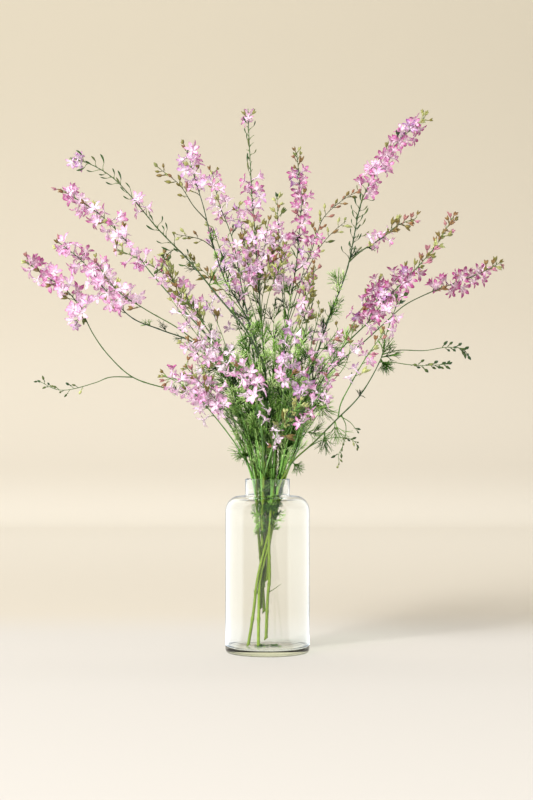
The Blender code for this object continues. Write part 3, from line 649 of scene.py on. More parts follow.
# The number of flowers at some spikes' very tips, and how far back from the tip they stand.
TIP_FLOWERS = {"tallest": (3, 0.009), "arching": (4, 0.0)}
TIP_LEAN_BACK, TIP_STALK_SHARE, BARE_STALK_SHARE = 0.6, 0.6, 0.85
# Short sprays between the spikes: the height where each leaves its stalk, where it begins to flower and its
# tip; then, as for the spikes, spacing, stalks, petals, shares of pods and buds, shade, lilac and tint.
SPRAYS = {
    "tallest_a": (
        0.46, (-0.026, -0.01, 0.527), (-0.059, -0.03, 0.62), 7.5, 13, 12.5, 0, 0.9, 0.4, 0.3, 0.6,
    ),
    "tallest_b": (0.49, (-0.023, 0, 0.55), (-0.045, 0.02, 0.67), 8.1, 13, 12.5, 0, 0.9, 0.4, 0.4, 0.6),
    "tallest_c": (
        0.47, (-0.012, -0.002, 0.543), (0.001, -0.02, 0.642), 7.5, 13, 12.5, 0, 0.9, 0.42, 0.1, 0.55,
    ),
    "back_a": (0.44, (-0.042, 0.04, 0.484), (-0.069, 0.04, 0.595), 7.8, 13, 12.5, 0, 0.9, 0.35, 0.5, 0.5),
    "tall_right_a": (0.47, (0.026, 0.02, 0.53), (0.019, 0.02, 0.626), 8.5, 12, 12.5, 0, 0.9, 0.45, 0, 0.7),
    "tall_right_b": (0.49, (0.046, 0.03, 0.546), (0.074, 0, 0.633), 7.2, 13, 12.5, 0, 0.9, 0.7, 0.2, 0.72),
    "tall_right_c": (0.48, (0.046, 0.02, 0.53), (0.055, -0.005, 0.555), 8, 8, 13.5, 0, 1, 0.75, 0, 0.8),
    "left_a": (0.41, (-0.093, -0.03, 0.459), (-0.138, -0.05, 0.52), 9.5, 13, 12.5, 0, 0.9, 0.22, 0.1, 0.6),
    "left_b": (0.42, (-0.068, 0, 0.475), (-0.091, 0, 0.528), 9.5, 12, 12.5, 0, 1, 0.3, 0.3, 0.6),
    "far_left_a": (
        0.37, (-0.048, -0.05, 0.421), (-0.102, -0.08, 0.475), 10.5, 14, 14.5, 0, 0.8, 0.12, 0.1, 0.7,
    ),
    "far_left_b": (
        0.31, (-0.052, -0.05, 0.377), (-0.145, -0.07, 0.41), 11, 13, 12.5, 0, 0.85, 0.3, 0.1, 0.65,
    ),
    "far_left_c": (
        0.3, (-0.058, -0.05, 0.362), (-0.094, -0.06, 0.418), 9, 12, 11.5, 0, 0.35, 0.25, 0.1, 0.5,
    ),
    "arching_a": (0.31, (-0.016, -0.12, 0.369), (-0.011, -0.143, 0.399), 8, 8, 14.5, 0, 1, 0.5, 0, 0.5),
    "tall_right_d": (0.3, (0.047, -0.08, 0.369), (0.045, -0.104, 0.42), 11, 12, 12.5, 0, 1, 0.4, 0.3, 0.6),
    "right_a": (0.3, (0.055, -0.04, 0.37), (0.1, -0.06, 0.42), 10.5, 13, 12.5, 0, 0.95, 0.5, 0.1, 0.6),
    "spike_a": (0.33, (0.053, 0, 0.408), (0.105, -0.02, 0.482), 9.5, 13, 12.5, 0, 0.9, 0.45, 0.1, 0.75),
    "spike_b": (0.36, (0.082, 0, 0.423), (0.133, 0, 0.492), 8.7, 12, 11.5, 0, 0.45, 0.3, 0.1, 0.7),
    "tallest_d": (0.29, (0.033, -0.08, 0.384), (0.028, -0.11, 0.44), 11, 12, 12.5, 0, 1, 0.2, 0.7, 0.6),
    "arching_b": (0.262, (0.012, -0.09, 0.32), (0.045, -0.132, 0.37), 2.7, 13, 11, 0, 0.06, 0.1, 0, 0.33),
    "arching_c": (0.265, (-0.008, -0.1, 0.335), (-0.005, -0.132, 0.372), 12, 8, 8, 0, 1, 0.12, 0, 0.4),
    "arching_d": (0.262, (0.004, -0.09, 0.297), (0.015, -0.13, 0.336), 14, 7, 8, 0, 1, 0.12, 0, 0.4),
    "low_right_a": (0.275, (0.047, -0.11, 0.335), (0.056, -0.143, 0.355), 13, 8, 13.5, 0, 1, 0.6, 0, 0.8),
    "long_left_a": (0.5, (-0.27, -0.055, 0.506), (-0.282, -0.055, 0.486), 7, 9, 12.5, 0, 1, 0.5, 0.1, 0.5),
    "right_b": (0.38, (0.114, -0.05, 0.428), (0.126, -0.04, 0.484), 8.7, 12, 11.5, 0, 0.5, 0.35, 0.1, 0.7),
    "right_c": (0.45, (0.128, -0.03, 0.492), (0.166, -0.03, 0.556), 4.2, 12, 13.5, 0, 0.92, 0.7, 0.1, 0.5),
    "right_d": (0.49, (0.16, -0.04, 0.52), (0.206, -0.03, 0.572), 4.8, 12, 13.5, 0, 0.85, 0.78, 0, 0.6),
    "tallest_g": (0.48, (0.004, -0.02, 0.54), (0.026, -0.035, 0.59), 5, 10, 10, 0, 0.2, 0.3, 0, 0.5),
    "tall_right_f": (0.44, (0.048, 0, 0.5), (0.072, -0.02, 0.575), 5.5, 10, 11, 0, 0.3, 0.5, 0, 0.62),
    "left_c": (0.43, (-0.093, -0.02, 0.489), (-0.12, -0.04, 0.528), 4, 9, 10, 0, 0, 0.3, 0, 0.42),
    "tallest_e": (0.47, (-0.008, 0, 0.528), (0.013, 0, 0.622), 5.5, 10, 10, 0, 0, 0.3, 0, 0.5),
    "tallest_f": (0.5, (-0.017, 0.01, 0.544), (-0.037, 0.01, 0.625), 6, 9, 10, 0, 0, 0.3, 0, 0.52),
    "tall_left_a": (0.5, (-0.064, -0.02, 0.54), (-0.121, -0.02, 0.592), 7, 9, 10, 0, 0, 0.3, 0, 0.5),
    "left_d": (0.47, (-0.127, -0.01, 0.526), (-0.154, -0.04, 0.591), 4, 10, 10, 0, 0, 0.3, 0, 0.52),
    "tall_right_e": (0.43, (0.049, 0.02, 0.484), (0.067, 0.02, 0.542), 5, 10, 10, 0, 0, 0.3, 0, 0.45),
    "far_left_d": (
        0.385, (-0.066, -0.03, 0.425), (-0.12, -0.045, 0.462), 4.6, 13, 14, 0, 0.9, 0.38, 0, 0.6,
    ),
    "low_left_a": (0.33, (-0.06, -0.06, 0.36), (-0.118, -0.085, 0.425), 5, 13, 13.5, 0, 0.8, 0.34, 0, 0.62),
    "spike_c": (0.42, (0.077, 0.03, 0.47), (0.107, 0.03, 0.53), 6, 9, 10, 1, 1, 0.3, 0, 0.3),
}
# A spray leaves the stalk that its name begins with, apart from this one.
SPRAY_STALKS = {"low_left_a": "far_left"}


def out_of(way, turn):
    """The directions square to each way, at an angle a round it: first x cos a + second x sin a.

    first is square to the way and to the world axis that it leans on least, and second to both.
    """
    axis = np.eye(3)[np.abs(way).argmin(axis=-1)]
    first = unit(np.cross(way, axis))
    return first * np.cos(turn) + np.cross(way, first) * np.sin(turn)


def joined(*skins):
    """Several skins as one."""
    shifts = np.cumsum([0] + [len(skin[0]) for skin in skins[:-1]])
    points, chart = (np.concatenate([skin[k] for skin in skins]) for k in (0, 3))
    quads, triangles = (np.concatenate([skin[k] + by for skin, by in zip(skins, shifts)]) for k in (1, 2))
    return points, quads, triangles, chart


def golden_spots(route, start, spacing, reach, seed):
    """Where a stalk's side growths stand, spaced along it and a golden angle apart round it.

    Gives the random source that scatters them, their shares of the way up, their feet, the stalk's headings
    there, the directions out of it, and the reach of each, which shortens towards the tip.
    """
    rng = np.random.default_rng(seed)
    count = max(2, int((route.length - start) / spacing))
    share = (np.arange(count) + rng.uniform(0.2, 0.8, count)) / count
    share = 1 - (1 - share) ** CROWDING
    along = start + (route.length - start) * share
    foot, way = route.at(along), route.heading(along)
    turn = (GOLDEN_ANGLE * np.arange(count) + rng.normal(0, TURN_SCATTER, count))[:, None]
    length = reach * (1 - TIP_SHORTENING * share) * rng.uniform(0.6, 1.35, count)
    return rng, share, foot, way, out_of(way, turn), length[:, None]


def bend(start, middle, end, t):
    """Points on quadratic curves: start (1-t)^2 + 2 middle t (1-t) + end t^2."""
    return start * (1 - t) ** 2 + 2 * middle * t * (1 - t) + end * t**2


def bent_tubes(start, middle, end, radii, sides, rows, ends=(0.0, 1.0)):
    """Many tubes along quadratic curves. radii are those of a tube's rings, for each or the same for all."""
    start, middle, end = (part.reshape(-1, 3) for part in (start, middle, end))
    radii = np.broadcast_to(radii, (len(start), np.shape(radii)[-1]))
    t = np.linspace(0, 1, radii.shape[1])[:, None]
    return tubes(bend(start[:, None], middle[:, None], end[:, None], t), radii, sides, rows, ends)


plans = {name: (routes[name], *plan) for name, plan in SPIKES.items()}
for name, (leaves_at, begins, tip, *plan) in SPRAYS.items():
    route = shoot_route(SPRAY_STALKS.get(name, name[:-2]), leaves_at, [begins, tip])
    begins_at = route.along[np.argmin(np.linalg.norm(route.dense - begins, axis=1))]
    plans[name] = (route, 1000 * (route.length - begins_at), *plan)
    skin = stalk_skin(route, TWIG_RADII, SPRAY_SIDES, BRANCH_STEP, len(plans) * BRANCH_ROW_STEP % 1)
    new_piece("spray_of_" + name, skin, branch_finish)

spikes = {}
for seed, (name, plan) in enumerate(plans.items()):
    route, flowering, spacing, reach, petal, pods_below, buds_above, shade, violet, tint = plan
    rng, share, foot, way, out, length = golden_spots(
        route, route.length - flowering / 1000, spacing / 1000, reach / 1000, 100 + seed
    )
    kind = np.where(share < pods_below, POD, np.where(share > buds_above, BUD, FLOWER))
    unopened = rng.uniform(0, 1, len(kind)) < BUDS_AMONG * (1 + tint)
    kind = np.where((kind == FLOWER) & unopened, BUD, kind)
    if name in PODS_ON_TOP:
        kind[(share > buds_above) & (share < LAST_BUDS)] = POD
        kind[1::2][kind[1::2] == POD] = BARE
    low, high = LATE_FLOWERS.get(name, (1.0, 1.0))
    kind[(share > low) & (share < high)] = FLOWER
    late_count, drop = TIP_FLOWERS.get(name, (0, 0.0))
    late = slice(len(kind) - late_count, None)
    kind[late] = FLOWER
    foot[late] -= way[late] * drop
    # A flower's stalk leads out from its spike and up it, with some scatter, and a late one leans back.
    lean = out * LEAN_OUT + way * LEAN_UP[kind, None] + UP * LEAN_SKYWARD
    lift = unit(lean + rng.normal(0, LEAN_SCATTER, out.shape))
    lift[late], length[late] = unit(out[late] - way[late] * TIP_LEAN_BACK), length[late] * TIP_STALK_SHARE
    length[kind == BARE] *= BARE_STALK_SHARE
    tip = foot + lift * length
    middle = foot + unit(out * 0.55 + way * 0.85) * length * 0.5
    spikes[name] = SimpleNamespace(
        rng=rng, share=share, kind=kind, tip=tip, onward=unit(tip - middle), out=out, way=way,
        petal=petal / 1000, shade=shade, violet=violet, tint=tint,
    )
    stalks = bent_tubes(foot, middle, tip, FLOWER_STALK_RADII, 4, share)
    # The bracts shorten up the spike.
    bract_tip = foot + unit(out * 0.5 + way) * BRACT_LENGTH * (1.2 - 0.5 * share[:, None])
    bract_middle = foot + way * 0.3 * BRACT_LENGTH + out * 0.002
    bracts = bent_tubes(foot, bract_middle, bract_tip, BRACT_RADII, 3, share)
    new_piece("flower_stalks_of_" + name, joined(stalks, bracts), branch_finish)


# The open flowers: five narrow, pointed petal-like sepals in a star, paler at the heart and darker at the
# tip, with a slim curved spur behind and a small pale cup of inner petals. Thin, soft and translucent. The
# pale heart is partly the flowers' own colour and partly a painted highlight.

PETAL_HALF_WIDTH = np.array([0.0006, 0.0016, 0.0025, 0.0022, 0.0003])
PETAL_STEPS = len(PETAL_HALF_WIDTH)
WIDTHS_AT_LENGTH = 0.012
PETAL_FOLD = 0.50
# How far a sepal opens at its foot and curls from there to its tip, in radians.
OPENING, CURL = (0.30, 1.10), (0.25, 0.85)
HEART_RADIUS = 0.0010
SPUR_START = 0.0006
SPUR_LENGTH = 0.011
SPUR_RADII = (0.0013, 0.0011, 0.0008, 0.0005, 0.0002)
CUP_RADII = (0.0007, 0.0014, 0.0016, 0.0006)
CUP_LENGTH = 0.0040
FLOWER_ROW_SCATTER = 0.18
BODY_COLOURS = (
    (0.00, (0.980, 0.870, 0.985, 1.0)), (0.20, (0.965, 0.775, 0.950, 1.0)),
    (0.50, (0.910, 0.550, 0.830, 1.0)), (0.80, (0.660, 0.210, 0.480, 1.0)),
    (1.00, (0.400, 0.070, 0.230, 1.0)),
)
LILAC_COLOURS = (
    (0.00, (0.920, 0.740, 0.920, 1.0)), (0.35, (0.800, 0.500, 0.790, 1.0)),
    (1.00, (0.380, 0.140, 0.420, 1.0)),
)
# The heart's near-white is partly the flowers' own pale eye and partly a painted highlight.
HEART_TONE_AND_HIGHLIGHT = (0.980, 0.900, 0.950, 1.0)
TIP_COLOUR = (0.300, 0.045, 0.130, 1.0)
EDGE_SHADE = 0.22
LILAC_ROW = 2.0


def colour_ramp(tree, share, stops):
    """A colour from a row of stops."""
    ramp = put(tree, "ValToRGB", {"Fac": share})
    elements = ramp.color_ramp.elements
    while len(elements) < len(stops):
        elements.new(0.5)
    for element, (place, colour) in zip(elements, stops):
        element.position, element.color = place, colour
    return ramp.outputs["Color"]


def let_light_through(tree, shader, out, share, glow):
    """Mixes a share of light that passes through a thin leaf or petal into its finish."""
    feeds = {0: share, 1: shader.outputs["BSDF"], 2: glow.outputs["BSDF"]}
    tree.links.new(put(tree, "MixShader", feeds).outputs["Shader"], out.inputs["Surface"])


def petal_finish():
    """Soft petal: the body's colour by its row, pale at the heart, dark at the tip, with soft patches.

    The pale heart is partly the flower's own colour and partly a painted highlight.
    """
    finish, tree, shader, out = new_finish("petal", Roughness=0.55, Specular_IOR_Level=0.15)
    along, row = chart_of(tree)
    lilac = worked(tree, "GREATER_THAN", row, LILAC_ROW - 0.5)
    shade = worked(tree, "MODULO", row, LILAC_ROW)
    body = mixed(tree, lilac, colour_ramp(tree, shade, BODY_COLOURS), colour_ramp(tree, shade, LILAC_COLOURS))
    with_heart_and_highlight = mixed(tree, between(tree, along, 0.05, 0.70, 0.90, 0.0), body, HEART_TONE_AND_HIGHLIGHT)
    tipped = mixed(tree, between(tree, along, 0.74, 1.0, 0.0, 0.75), with_heart_and_highlight, TIP_COLOUR)
    coloured = add_mottle(tree, shader, tipped, object_place(tree), scale=380.0, strength=0.30, relief=0.25)
    let_light_through(tree, shader, out, 0.30, put(tree, "BsdfTranslucent", {"Color": coloured}))
    return finish


def grids(surface, rows, edge=0.0):
    """The skin of many equal sheets, (sheets, along, across, 3), charted by the share along each.

    The colour row grows by edge from a sheet's middle line to its sides.
    """
    count, along, across = surface.shape[:3]
    at = np.arange(along * across).reshape(along, across)
    quads = np.stack([at[:-1, :-1], at[:-1, 1:], at[1:, 1:], at[1:, :-1]], axis=-1).reshape(-1, 4)
    shift = (np.arange(count) * along * across)[:, None, None]
    share = np.repeat(np.linspace(0, 1, along), across)
    row = np.reshape(rows, (-1, 1)) + edge * np.tile(np.linspace(-1, 1, across) ** 2, along)
    chart = charted(count, share, row)
    return surface.reshape(-1, 3), (quads + shift).reshape(-1, 4), np.zeros((0, 3), int), chart


def florets(rng, heart, facing, up, petal, rows):
    """The skin of open flowers at their hearts, each facing its way with its own up.

    A sepal's middle line leaves at an angle a from the facing and turns evenly by b: its direction at s is
    cos(a + b s) forwards + sin(a + b s) outwards. Its sides fold forwards by fold x across^2.
    """
    count = len(heart)
    petal = petal * rng.uniform(0.85, 1.12, count)
    up = unit(up - facing * (up * facing).sum(axis=1, keepdims=True))
    side = np.cross(facing, up)
    turn = math.pi / 2 + np.arange(5) * 2 * math.pi / 5 + rng.normal(0, 0.13, (count, 5))
    outward = side[:, None] * np.cos(turn)[..., None] + up[:, None] * np.sin(turn)[..., None]
    across = np.cross(facing[:, None], outward)
    opens = rng.uniform(*OPENING, (count, 1)) + rng.normal(0, 0.16, (count, 5))
    curls = rng.uniform(*CURL, (count, 5))
    length = petal[:, None] * rng.uniform(0.86, 1.10, (count, 5))
    s = np.linspace(0, 1, PETAL_STEPS)[:, None]
    a, b, length = (part[:, :, None, None] for part in (opens, curls, length))
    forward = length * (np.sin(a + b * s) - np.sin(a)) / b
    away = HEART_RADIUS + length * (np.cos(a) - np.cos(a + b * s)) / b
    line = forward * facing[:, None, None] + away * outward[:, :, None]
    raised = np.sin(a + b * s) * facing[:, None, None] - np.cos(a + b * s) * outward[:, :, None]
    width = PETAL_HALF_WIDTH[:, None] * (petal[:, None, None, None] / WIDTHS_AT_LENGTH)
    v = np.array([-1.0, 0.0, 1.0])[:, None]
    folded = v * across[:, :, None, None] + PETAL_FOLD * v**2 * raised[:, :, :, None]
    sheet = (line[:, :, :, None] + width[..., None] * folded).reshape(count * 5, PETAL_STEPS, 3, 3)
    sheet = sheet + np.repeat(heart, 5, axis=0)[:, None, None]
    sepals = grids(sheet, np.repeat(rows, 5), EDGE_SHADE)
    back = heart - facing * SPUR_START
    spur_end = back - facing * SPUR_LENGTH * 0.85 + up * SPUR_LENGTH * rng.uniform(-0.1, 0.5, (count, 1))
    spur_middle = back - facing * SPUR_LENGTH * 0.6
    spurs = bent_tubes(back, spur_middle, spur_end, SPUR_RADII, 4, rows, (0.25, 0.85))
    cup_middle, cup_end = heart + facing * 0.0025, heart + facing * CUP_LENGTH + up * 0.0010
    cups = bent_tubes(heart, cup_middle, cup_end, CUP_RADII, 4, rows, (0.0, 0.25))
    return joined(sepals, spurs, cups)


petals = petal_finish()
for name, spike in spikes.items():
    here = spike.kind == FLOWER
    if not here.any():
        continue
    rng, share, out, way = spike.rng, spike.share[here], spike.out[here], spike.way[here]
    facing = unit(out * 0.9 + way * 0.25 + rng.normal(0, 0.50, out.shape))
    shade = spike.shade + 0.15 * (share - 0.4)
    rows = np.clip(shade + rng.normal(0, FLOWER_ROW_SCATTER, len(share)), 0.0, 0.9)
    rows = rows + LILAC_ROW * (rng.uniform(0, 1, len(share)) < spike.violet)
    heart, size = spike.tip[here] + facing * 0.001, spike.petal * (1.06 - 0.18 * share)
    skin = florets(rng, heart, facing, way + 0.3 * UP, size, rows)
    stands_for = ["raceme_" + name] if name in SPIKES else []
    new_piece("flowers_of_" + name, skin, petals, stands_for)


# The buds and pods: a bud is a closed, pointed flower with a short spur, yellow-green ripening to pinkish
# brown. A pod is a small green club on its thin stalk. Both crowd the spikes' ends and the thin shoots.

BUD_LENGTH, BUD_SHORTENING = 0.0112, 0.0035
BUD_TINT_SCATTER, TWIG_TINT_SCATTER = 0.18, 0.15
BUD_RINGS = np.array([0.30, 0.85, 1.00, 0.90, 0.60, 0.15])
BUD_SPUR_RINGS = (0.13, 0.10, 0.07, 0.03)
POD_RINGS = np.array([0.35, 0.55, 0.80, 1.00, 0.90, 0.30])
POD_SIDES = 6
BUD_STALK_RADII = np.linspace(0.0004, 0.0003, 4)
POD_PLUMPNESS = 0.11
POD_LENGTH, LONG_POD_LENGTH = 0.008, 0.013
LONG_PODDED = ("arching", "tallest", "spike")
BUD_COLOURS = (
    (0.00, (0.030, 0.060, 0.018, 1.0)), (0.20, (0.110, 0.140, 0.035, 1.0)),
    (0.40, (0.500, 0.530, 0.210, 1.0)), (0.60, (0.180, 0.165, 0.042, 1.0)),
    (0.80, (0.270, 0.140, 0.066, 1.0)), (1.00, (0.480, 0.200, 0.270, 1.0)),
)
POD_COLOURS = (
    (0.00, (0.024, 0.062, 0.016, 1.0)), (0.70, (0.050, 0.105, 0.026, 1.0)),
    (1.00, (0.170, 0.180, 0.060, 1.0)),
)
# For each thin shoot: the share of it where its buds begin; their spacing, the length of their stalks and
# their own length, in millimetres; and their tint.
TWIG_BUDS = {
    "long_left": (0.50, 6.0, 8, 6.5, 0.12),
    "arching": (0.45, 7.0, 8, 7.5, 0.20),
    "tall_left_high": (0.40, 5.0, 8, 8.0, 0.64),
    "tall_right_high": (0.40, 6.0, 9, 8.0, 0.72),
    "tall_right_low": (0.40, 7.5, 9, 7.5, 0.42),
    "low_right_high": (0.66, 3.6, 6, 7.0, -0.05),
    "low_right_low": (0.48, 3.8, 6, 7.0, -0.05),
    "low_right_hanging": (0.40, 7.0, 6, 5.5, 0.05),
    "tall_left_low": (0.30, 6.0, 8, 7.0, 0.58),
    "low_right_drooping": (0.80, 4.0, 3, 5.0, 0.03),
    "low_right_level": (0.72, 3.6, 5, 5.5, 0.05),
}


def seed_coat(name, stops):
    """Matt green skin whose colour comes from its row, darker towards the point."""
    finish, tree, shader, _ = new_finish(name, Roughness=0.5, Specular_IOR_Level=0.2)
    along, row = chart_of(tree)
    body = colour_ramp(tree, row, stops)
    darkened = mixed(tree, between(tree, along, 0.55, 1.0, 0.0, 0.55), body, scaled(tree, body, 0.55))
    add_mottle(tree, shader, darkened, object_place(tree), scale=500.0, strength=0.25, relief=0.3)
    return finish


def pods(foot, way, bow, length, width, rings, rows):
    """Slim seed-like bodies: a curved line of one length with a ring of its own share of the width each."""
    end = foot + way * length[:, None] + bow * length[:, None] * 0.25
    return bent_tubes(foot, foot + way * length[:, None] * 0.5, end, width[:, None] * rings, POD_SIDES, rows)


def bud_skin(rng, foot, way, length, rows, spread=0.42, plump=0.20):
    """Buds: three closed sepals lean out from the foot, and the spur, a thin tube, runs back from it."""
    bow = rng.normal(0, 0.5, foot.shape)
    turn = rng.uniform(0, 2 * math.pi, (len(foot), 1))
    lobes = []
    for number in range(3):
        lean = unit(way + spread * out_of(way, turn + number * 2 * math.pi / 3))
        lobe_length = length * rng.uniform(0.8, 1.1, len(foot))
        lobes.append(pods(foot, lean, bow, lobe_length, length * plump, BUD_RINGS, rows))
    reach = length[:, None]
    spur_end = foot - way * reach * 0.75 + bow * reach * 0.25
    start, middle = foot + way * reach * 0.15, foot - way * reach * 0.4
    return joined(*lobes, bent_tubes(start, middle, spur_end, reach * BUD_SPUR_RINGS, 3, rows))


bud_coat, pod_coat = seed_coat("bud_coat", BUD_COLOURS), seed_coat("pod_coat", POD_COLOURS)
for name, spike in spikes.items():
    rng, heading = spike.rng, unit(spike.onward + spike.way * 0.5)
    here = spike.kind == BUD
    if here.any():
        full = BUD_LENGTH - BUD_SHORTENING * spike.share[here] ** 2
        length = full * rng.uniform(0.8, 1.15, here.sum())
        rows = np.clip(spike.tint + rng.normal(0, BUD_TINT_SCATTER, here.sum()), 0, 1)
        skin = bud_skin(rng, spike.tip[here], heading[here], length, rows)
        new_piece("buds_of_" + name, skin, bud_coat)
    here = spike.kind == POD
    if here.any():
        rows = rng.uniform(0, 1, here.sum())
        full = LONG_POD_LENGTH if name in LONG_PODDED else POD_LENGTH
        length = rng.uniform(0.55, 1.05, here.sum()) * full
        bow = spike.way[here] - spike.out[here]
        skin = pods(spike.tip[here], heading[here], bow, length, length * POD_PLUMPNESS, POD_RINGS, rows)
        new_piece("pods_of_" + name, skin, pod_coat)
for seed, (name, (begins, spacing, reach, size, tint)) in enumerate(TWIG_BUDS.items()):
    route = twig_routes[name]
    rng, _, foot, way, out, length = golden_spots(
        route, route.length * begins, spacing / 1000, reach / 1000, 300 + seed
    )
    middle, tip = foot + unit(out + way) * length * 0.5, foot + unit(out + way * 0.8) * length
    stalks = bent_tubes(foot, middle, tip, BUD_STALK_RADII, 4, 0.0)
    new_piece("bud_stalks_of_" + name, stalks, branch_finish)
    rows = np.clip(tint + rng.normal(0, TWIG_TINT_SCATTER, len(foot)), 0, 1)
    body = size / 1000 * rng.uniform(0.8, 1.2, len(foot))
    skin = bud_skin(rng, tip, unit(out + way * 1.2), body, rows, spread=0.06, plump=0.27)
    new_piece("buds_on_" + name, skin, bud_coat, twig_nodes.get(name, []))


# The foliage: leaves cut into soft green threads, as fine as dill, that fan from a short leaf stalk and fork
# again. They crowd the stalks' lower halves and thin out along them, with leafy side shoots at the neck.

THREAD_RADIUS = 0.00066
LEAF_STALK_RADII = np.linspace(1.30, 1.10, 3) * THREAD_RADIUS
RIB_RADII = np.linspace(1.00, 0.45, 4) * THREAD_RADIUS
FORK_RADII = np.linspace(0.80, 0.40, 3) * THREAD_RADIUS
LEAF_LENGTH = 0.033
LEAF_SPACING = 0.0130
ABOVE_LIP = 0.262
# The leaves thin out at about this distance from the vase's axis, over about this width, to this share.
LEAFY_REACH, LEAFY_FADE, LEAST_LEAFY = 0.095, 0.055, 0.10
# Near the lip they are as few as this share, up from this height over this stretch.
LIP_LEAFY, LIP_FROM, LIP_STRETCH = 0.45, 0.24, 0.10
# The room that the neck leaves, and how it opens above the lip and below the neck.
NECK_MIDDLE = np.array([0.004, -0.002])
NECK_REACH = 0.023
NECK_OPENING = 1.1
NECK_FOOT = 0.232
BODY_REACH = 0.038
FREE_REACH = 0.14
LEAF_COLOURS = (
    (0.00, (0.010, 0.036, 0.004, 1.0)), (0.25, (0.052, 0.150, 0.013, 1.0)),
    (0.55, (0.300, 0.560, 0.110, 1.0)), (1.00, (0.620, 0.820, 0.340, 1.0)),
)
LEAF_GLOW = (0.24, 0.42, 0.12, 1.0)
# A leaf's ribs: their angles from its line, and their shares of its length. The forks of each rib: the
# share along it where each leaves, its angle off it, and its share of the rib's length.
RIB_ANGLES, RIB_SHARES = np.radians([-46, -22, 0, 22, 46]), np.array([0.60, 0.76, 0.86, 0.76, 0.60])
FORK_PLACES, FORK_ANGLES = np.array([0.36, 0.52]), np.radians([-28, 26])
FORK_SHARES = np.array([0.58, 0.48])
# Leafy side shoots at the bunch's heart: the stem and the height where each leaves, and its tip.
SHOOT_RADII = ((0.0, 0.0013), (0.3, 0.0010), (1.0, 0.0004))
SHOOT_SIDES = 4
SHOOT_STEP = 0.006
SHOOT_BARE = 0.070
SHOOT_LEAF_SPACING = 0.0090
LEAFY_SHOOTS = (
    ("far_left", 0.215, (-0.058, -0.02, 0.4)), ("left", 0.22, (-0.04, 0.02, 0.455)),
    ("arching", 0.21, (-0.03, -0.05, 0.42)), ("tall_left", 0.215, (-0.038, -0.012, 0.5)),
    ("tallest", 0.21, (-0.008, -0.03, 0.48)), ("tall_right", 0.212, (0.01, -0.02, 0.52)),
    ("spike", 0.22, (0.045, -0.01, 0.47)), ("right", 0.215, (0.062, 0.01, 0.44)),
    ("low_right", 0.22, (0.06, -0.04, 0.4)), ("back", 0.212, (-0.022, 0.05, 0.5)),
    ("tall_right", 0.225, (0.036, 0, 0.54)), ("spike", 0.215, (0.066, 0.04, 0.52)),
    ("right", 0.225, (0.078, -0.03, 0.43)), ("left", 0.21, (-0.024, -0.02, 0.38)),
    ("arching", 0.225, (0.004, -0.06, 0.4)), ("tall_right", 0.24, (0.026, -0.045, 0.43)),
    ("spike", 0.24, (0.04, -0.06, 0.4)), ("low_right", 0.235, (0.074, -0.01, 0.38)),
    ("far_left", 0.24, (-0.045, -0.03, 0.35)), ("right", 0.24, (0.052, -0.034, 0.47)),
    ("left", 0.225, (-0.072, -0.03, 0.44)), ("far_left", 0.22, (-0.072, -0.02, 0.37)),
    ("right", 0.225, (0.088, -0.03, 0.375)), ("arching", 0.23, (-0.05, -0.06, 0.44)),
    ("left", 0.235, (-0.046, -0.05, 0.375)), ("far_left", 0.23, (-0.088, -0.01, 0.392)),
    ("left", 0.232, (-0.068, -0.02, 0.41)), ("tall_left", 0.235, (-0.055, -0.03, 0.445)),
    ("arching", 0.235, (-0.028, -0.055, 0.46)), ("tallest", 0.235, (0.01, -0.045, 0.45)),
    ("spike", 0.235, (0.06, -0.045, 0.45)), ("right", 0.235, (0.084, -0.035, 0.42)),
    ("low_right", 0.23, (0.096, -0.03, 0.4)),
)
# Single leaves that stand clear of the bunch: the stem and the height where each leaves, its tip and length.
CLEAR_LEAVES = (
    ("far_left", 0.292, (-0.056, -0.01, 0.312), 0.034), ("far_left", 0.296, (-0.05, -0.03, 0.29), 0.03),
    ("low_right", 0.436, (0.176, -0.096, 0.475), 0.034), ("low_right", 0.437, (0.206, -0.096, 0.444), 0.03),
    ("low_right", 0.434, (0.178, -0.096, 0.408), 0.024), ("low_right", 0.432, (0.19, -0.1, 0.414), 0.022),
    ("low_right", 0.345, (0.1, -0.05, 0.305), 0.04), ("low_right", 0.33, (0.088, -0.05, 0.296), 0.036),
    ("far_left", 0.395, (-0.09, -0.03, 0.436), 0.046), ("far_left", 0.425, (-0.1, -0.02, 0.42), 0.044),
    ("spike", 0.5, (0.116, 0, 0.548), 0.036), ("spike", 0.545, (0.098, 0.01, 0.585), 0.034),
    ("spike", 0.4, (0.094, -0.02, 0.38), 0.04), ("spike", 0.455, (0.122, 0, 0.456), 0.042),
    ("right", 0.33, (0.098, -0.03, 0.325), 0.04), ("right", 0.372, (0.112, -0.04, 0.345), 0.042),
    ("right", 0.42, (0.124, -0.02, 0.456), 0.036), ("low_right", 0.285, (0.052, -0.04, 0.276), 0.026),
    ("arching", 0.47, (-0.044, -0.1, 0.455), 0.032), ("arching", 0.54, (-0.06, -0.11, 0.56), 0.03),
)


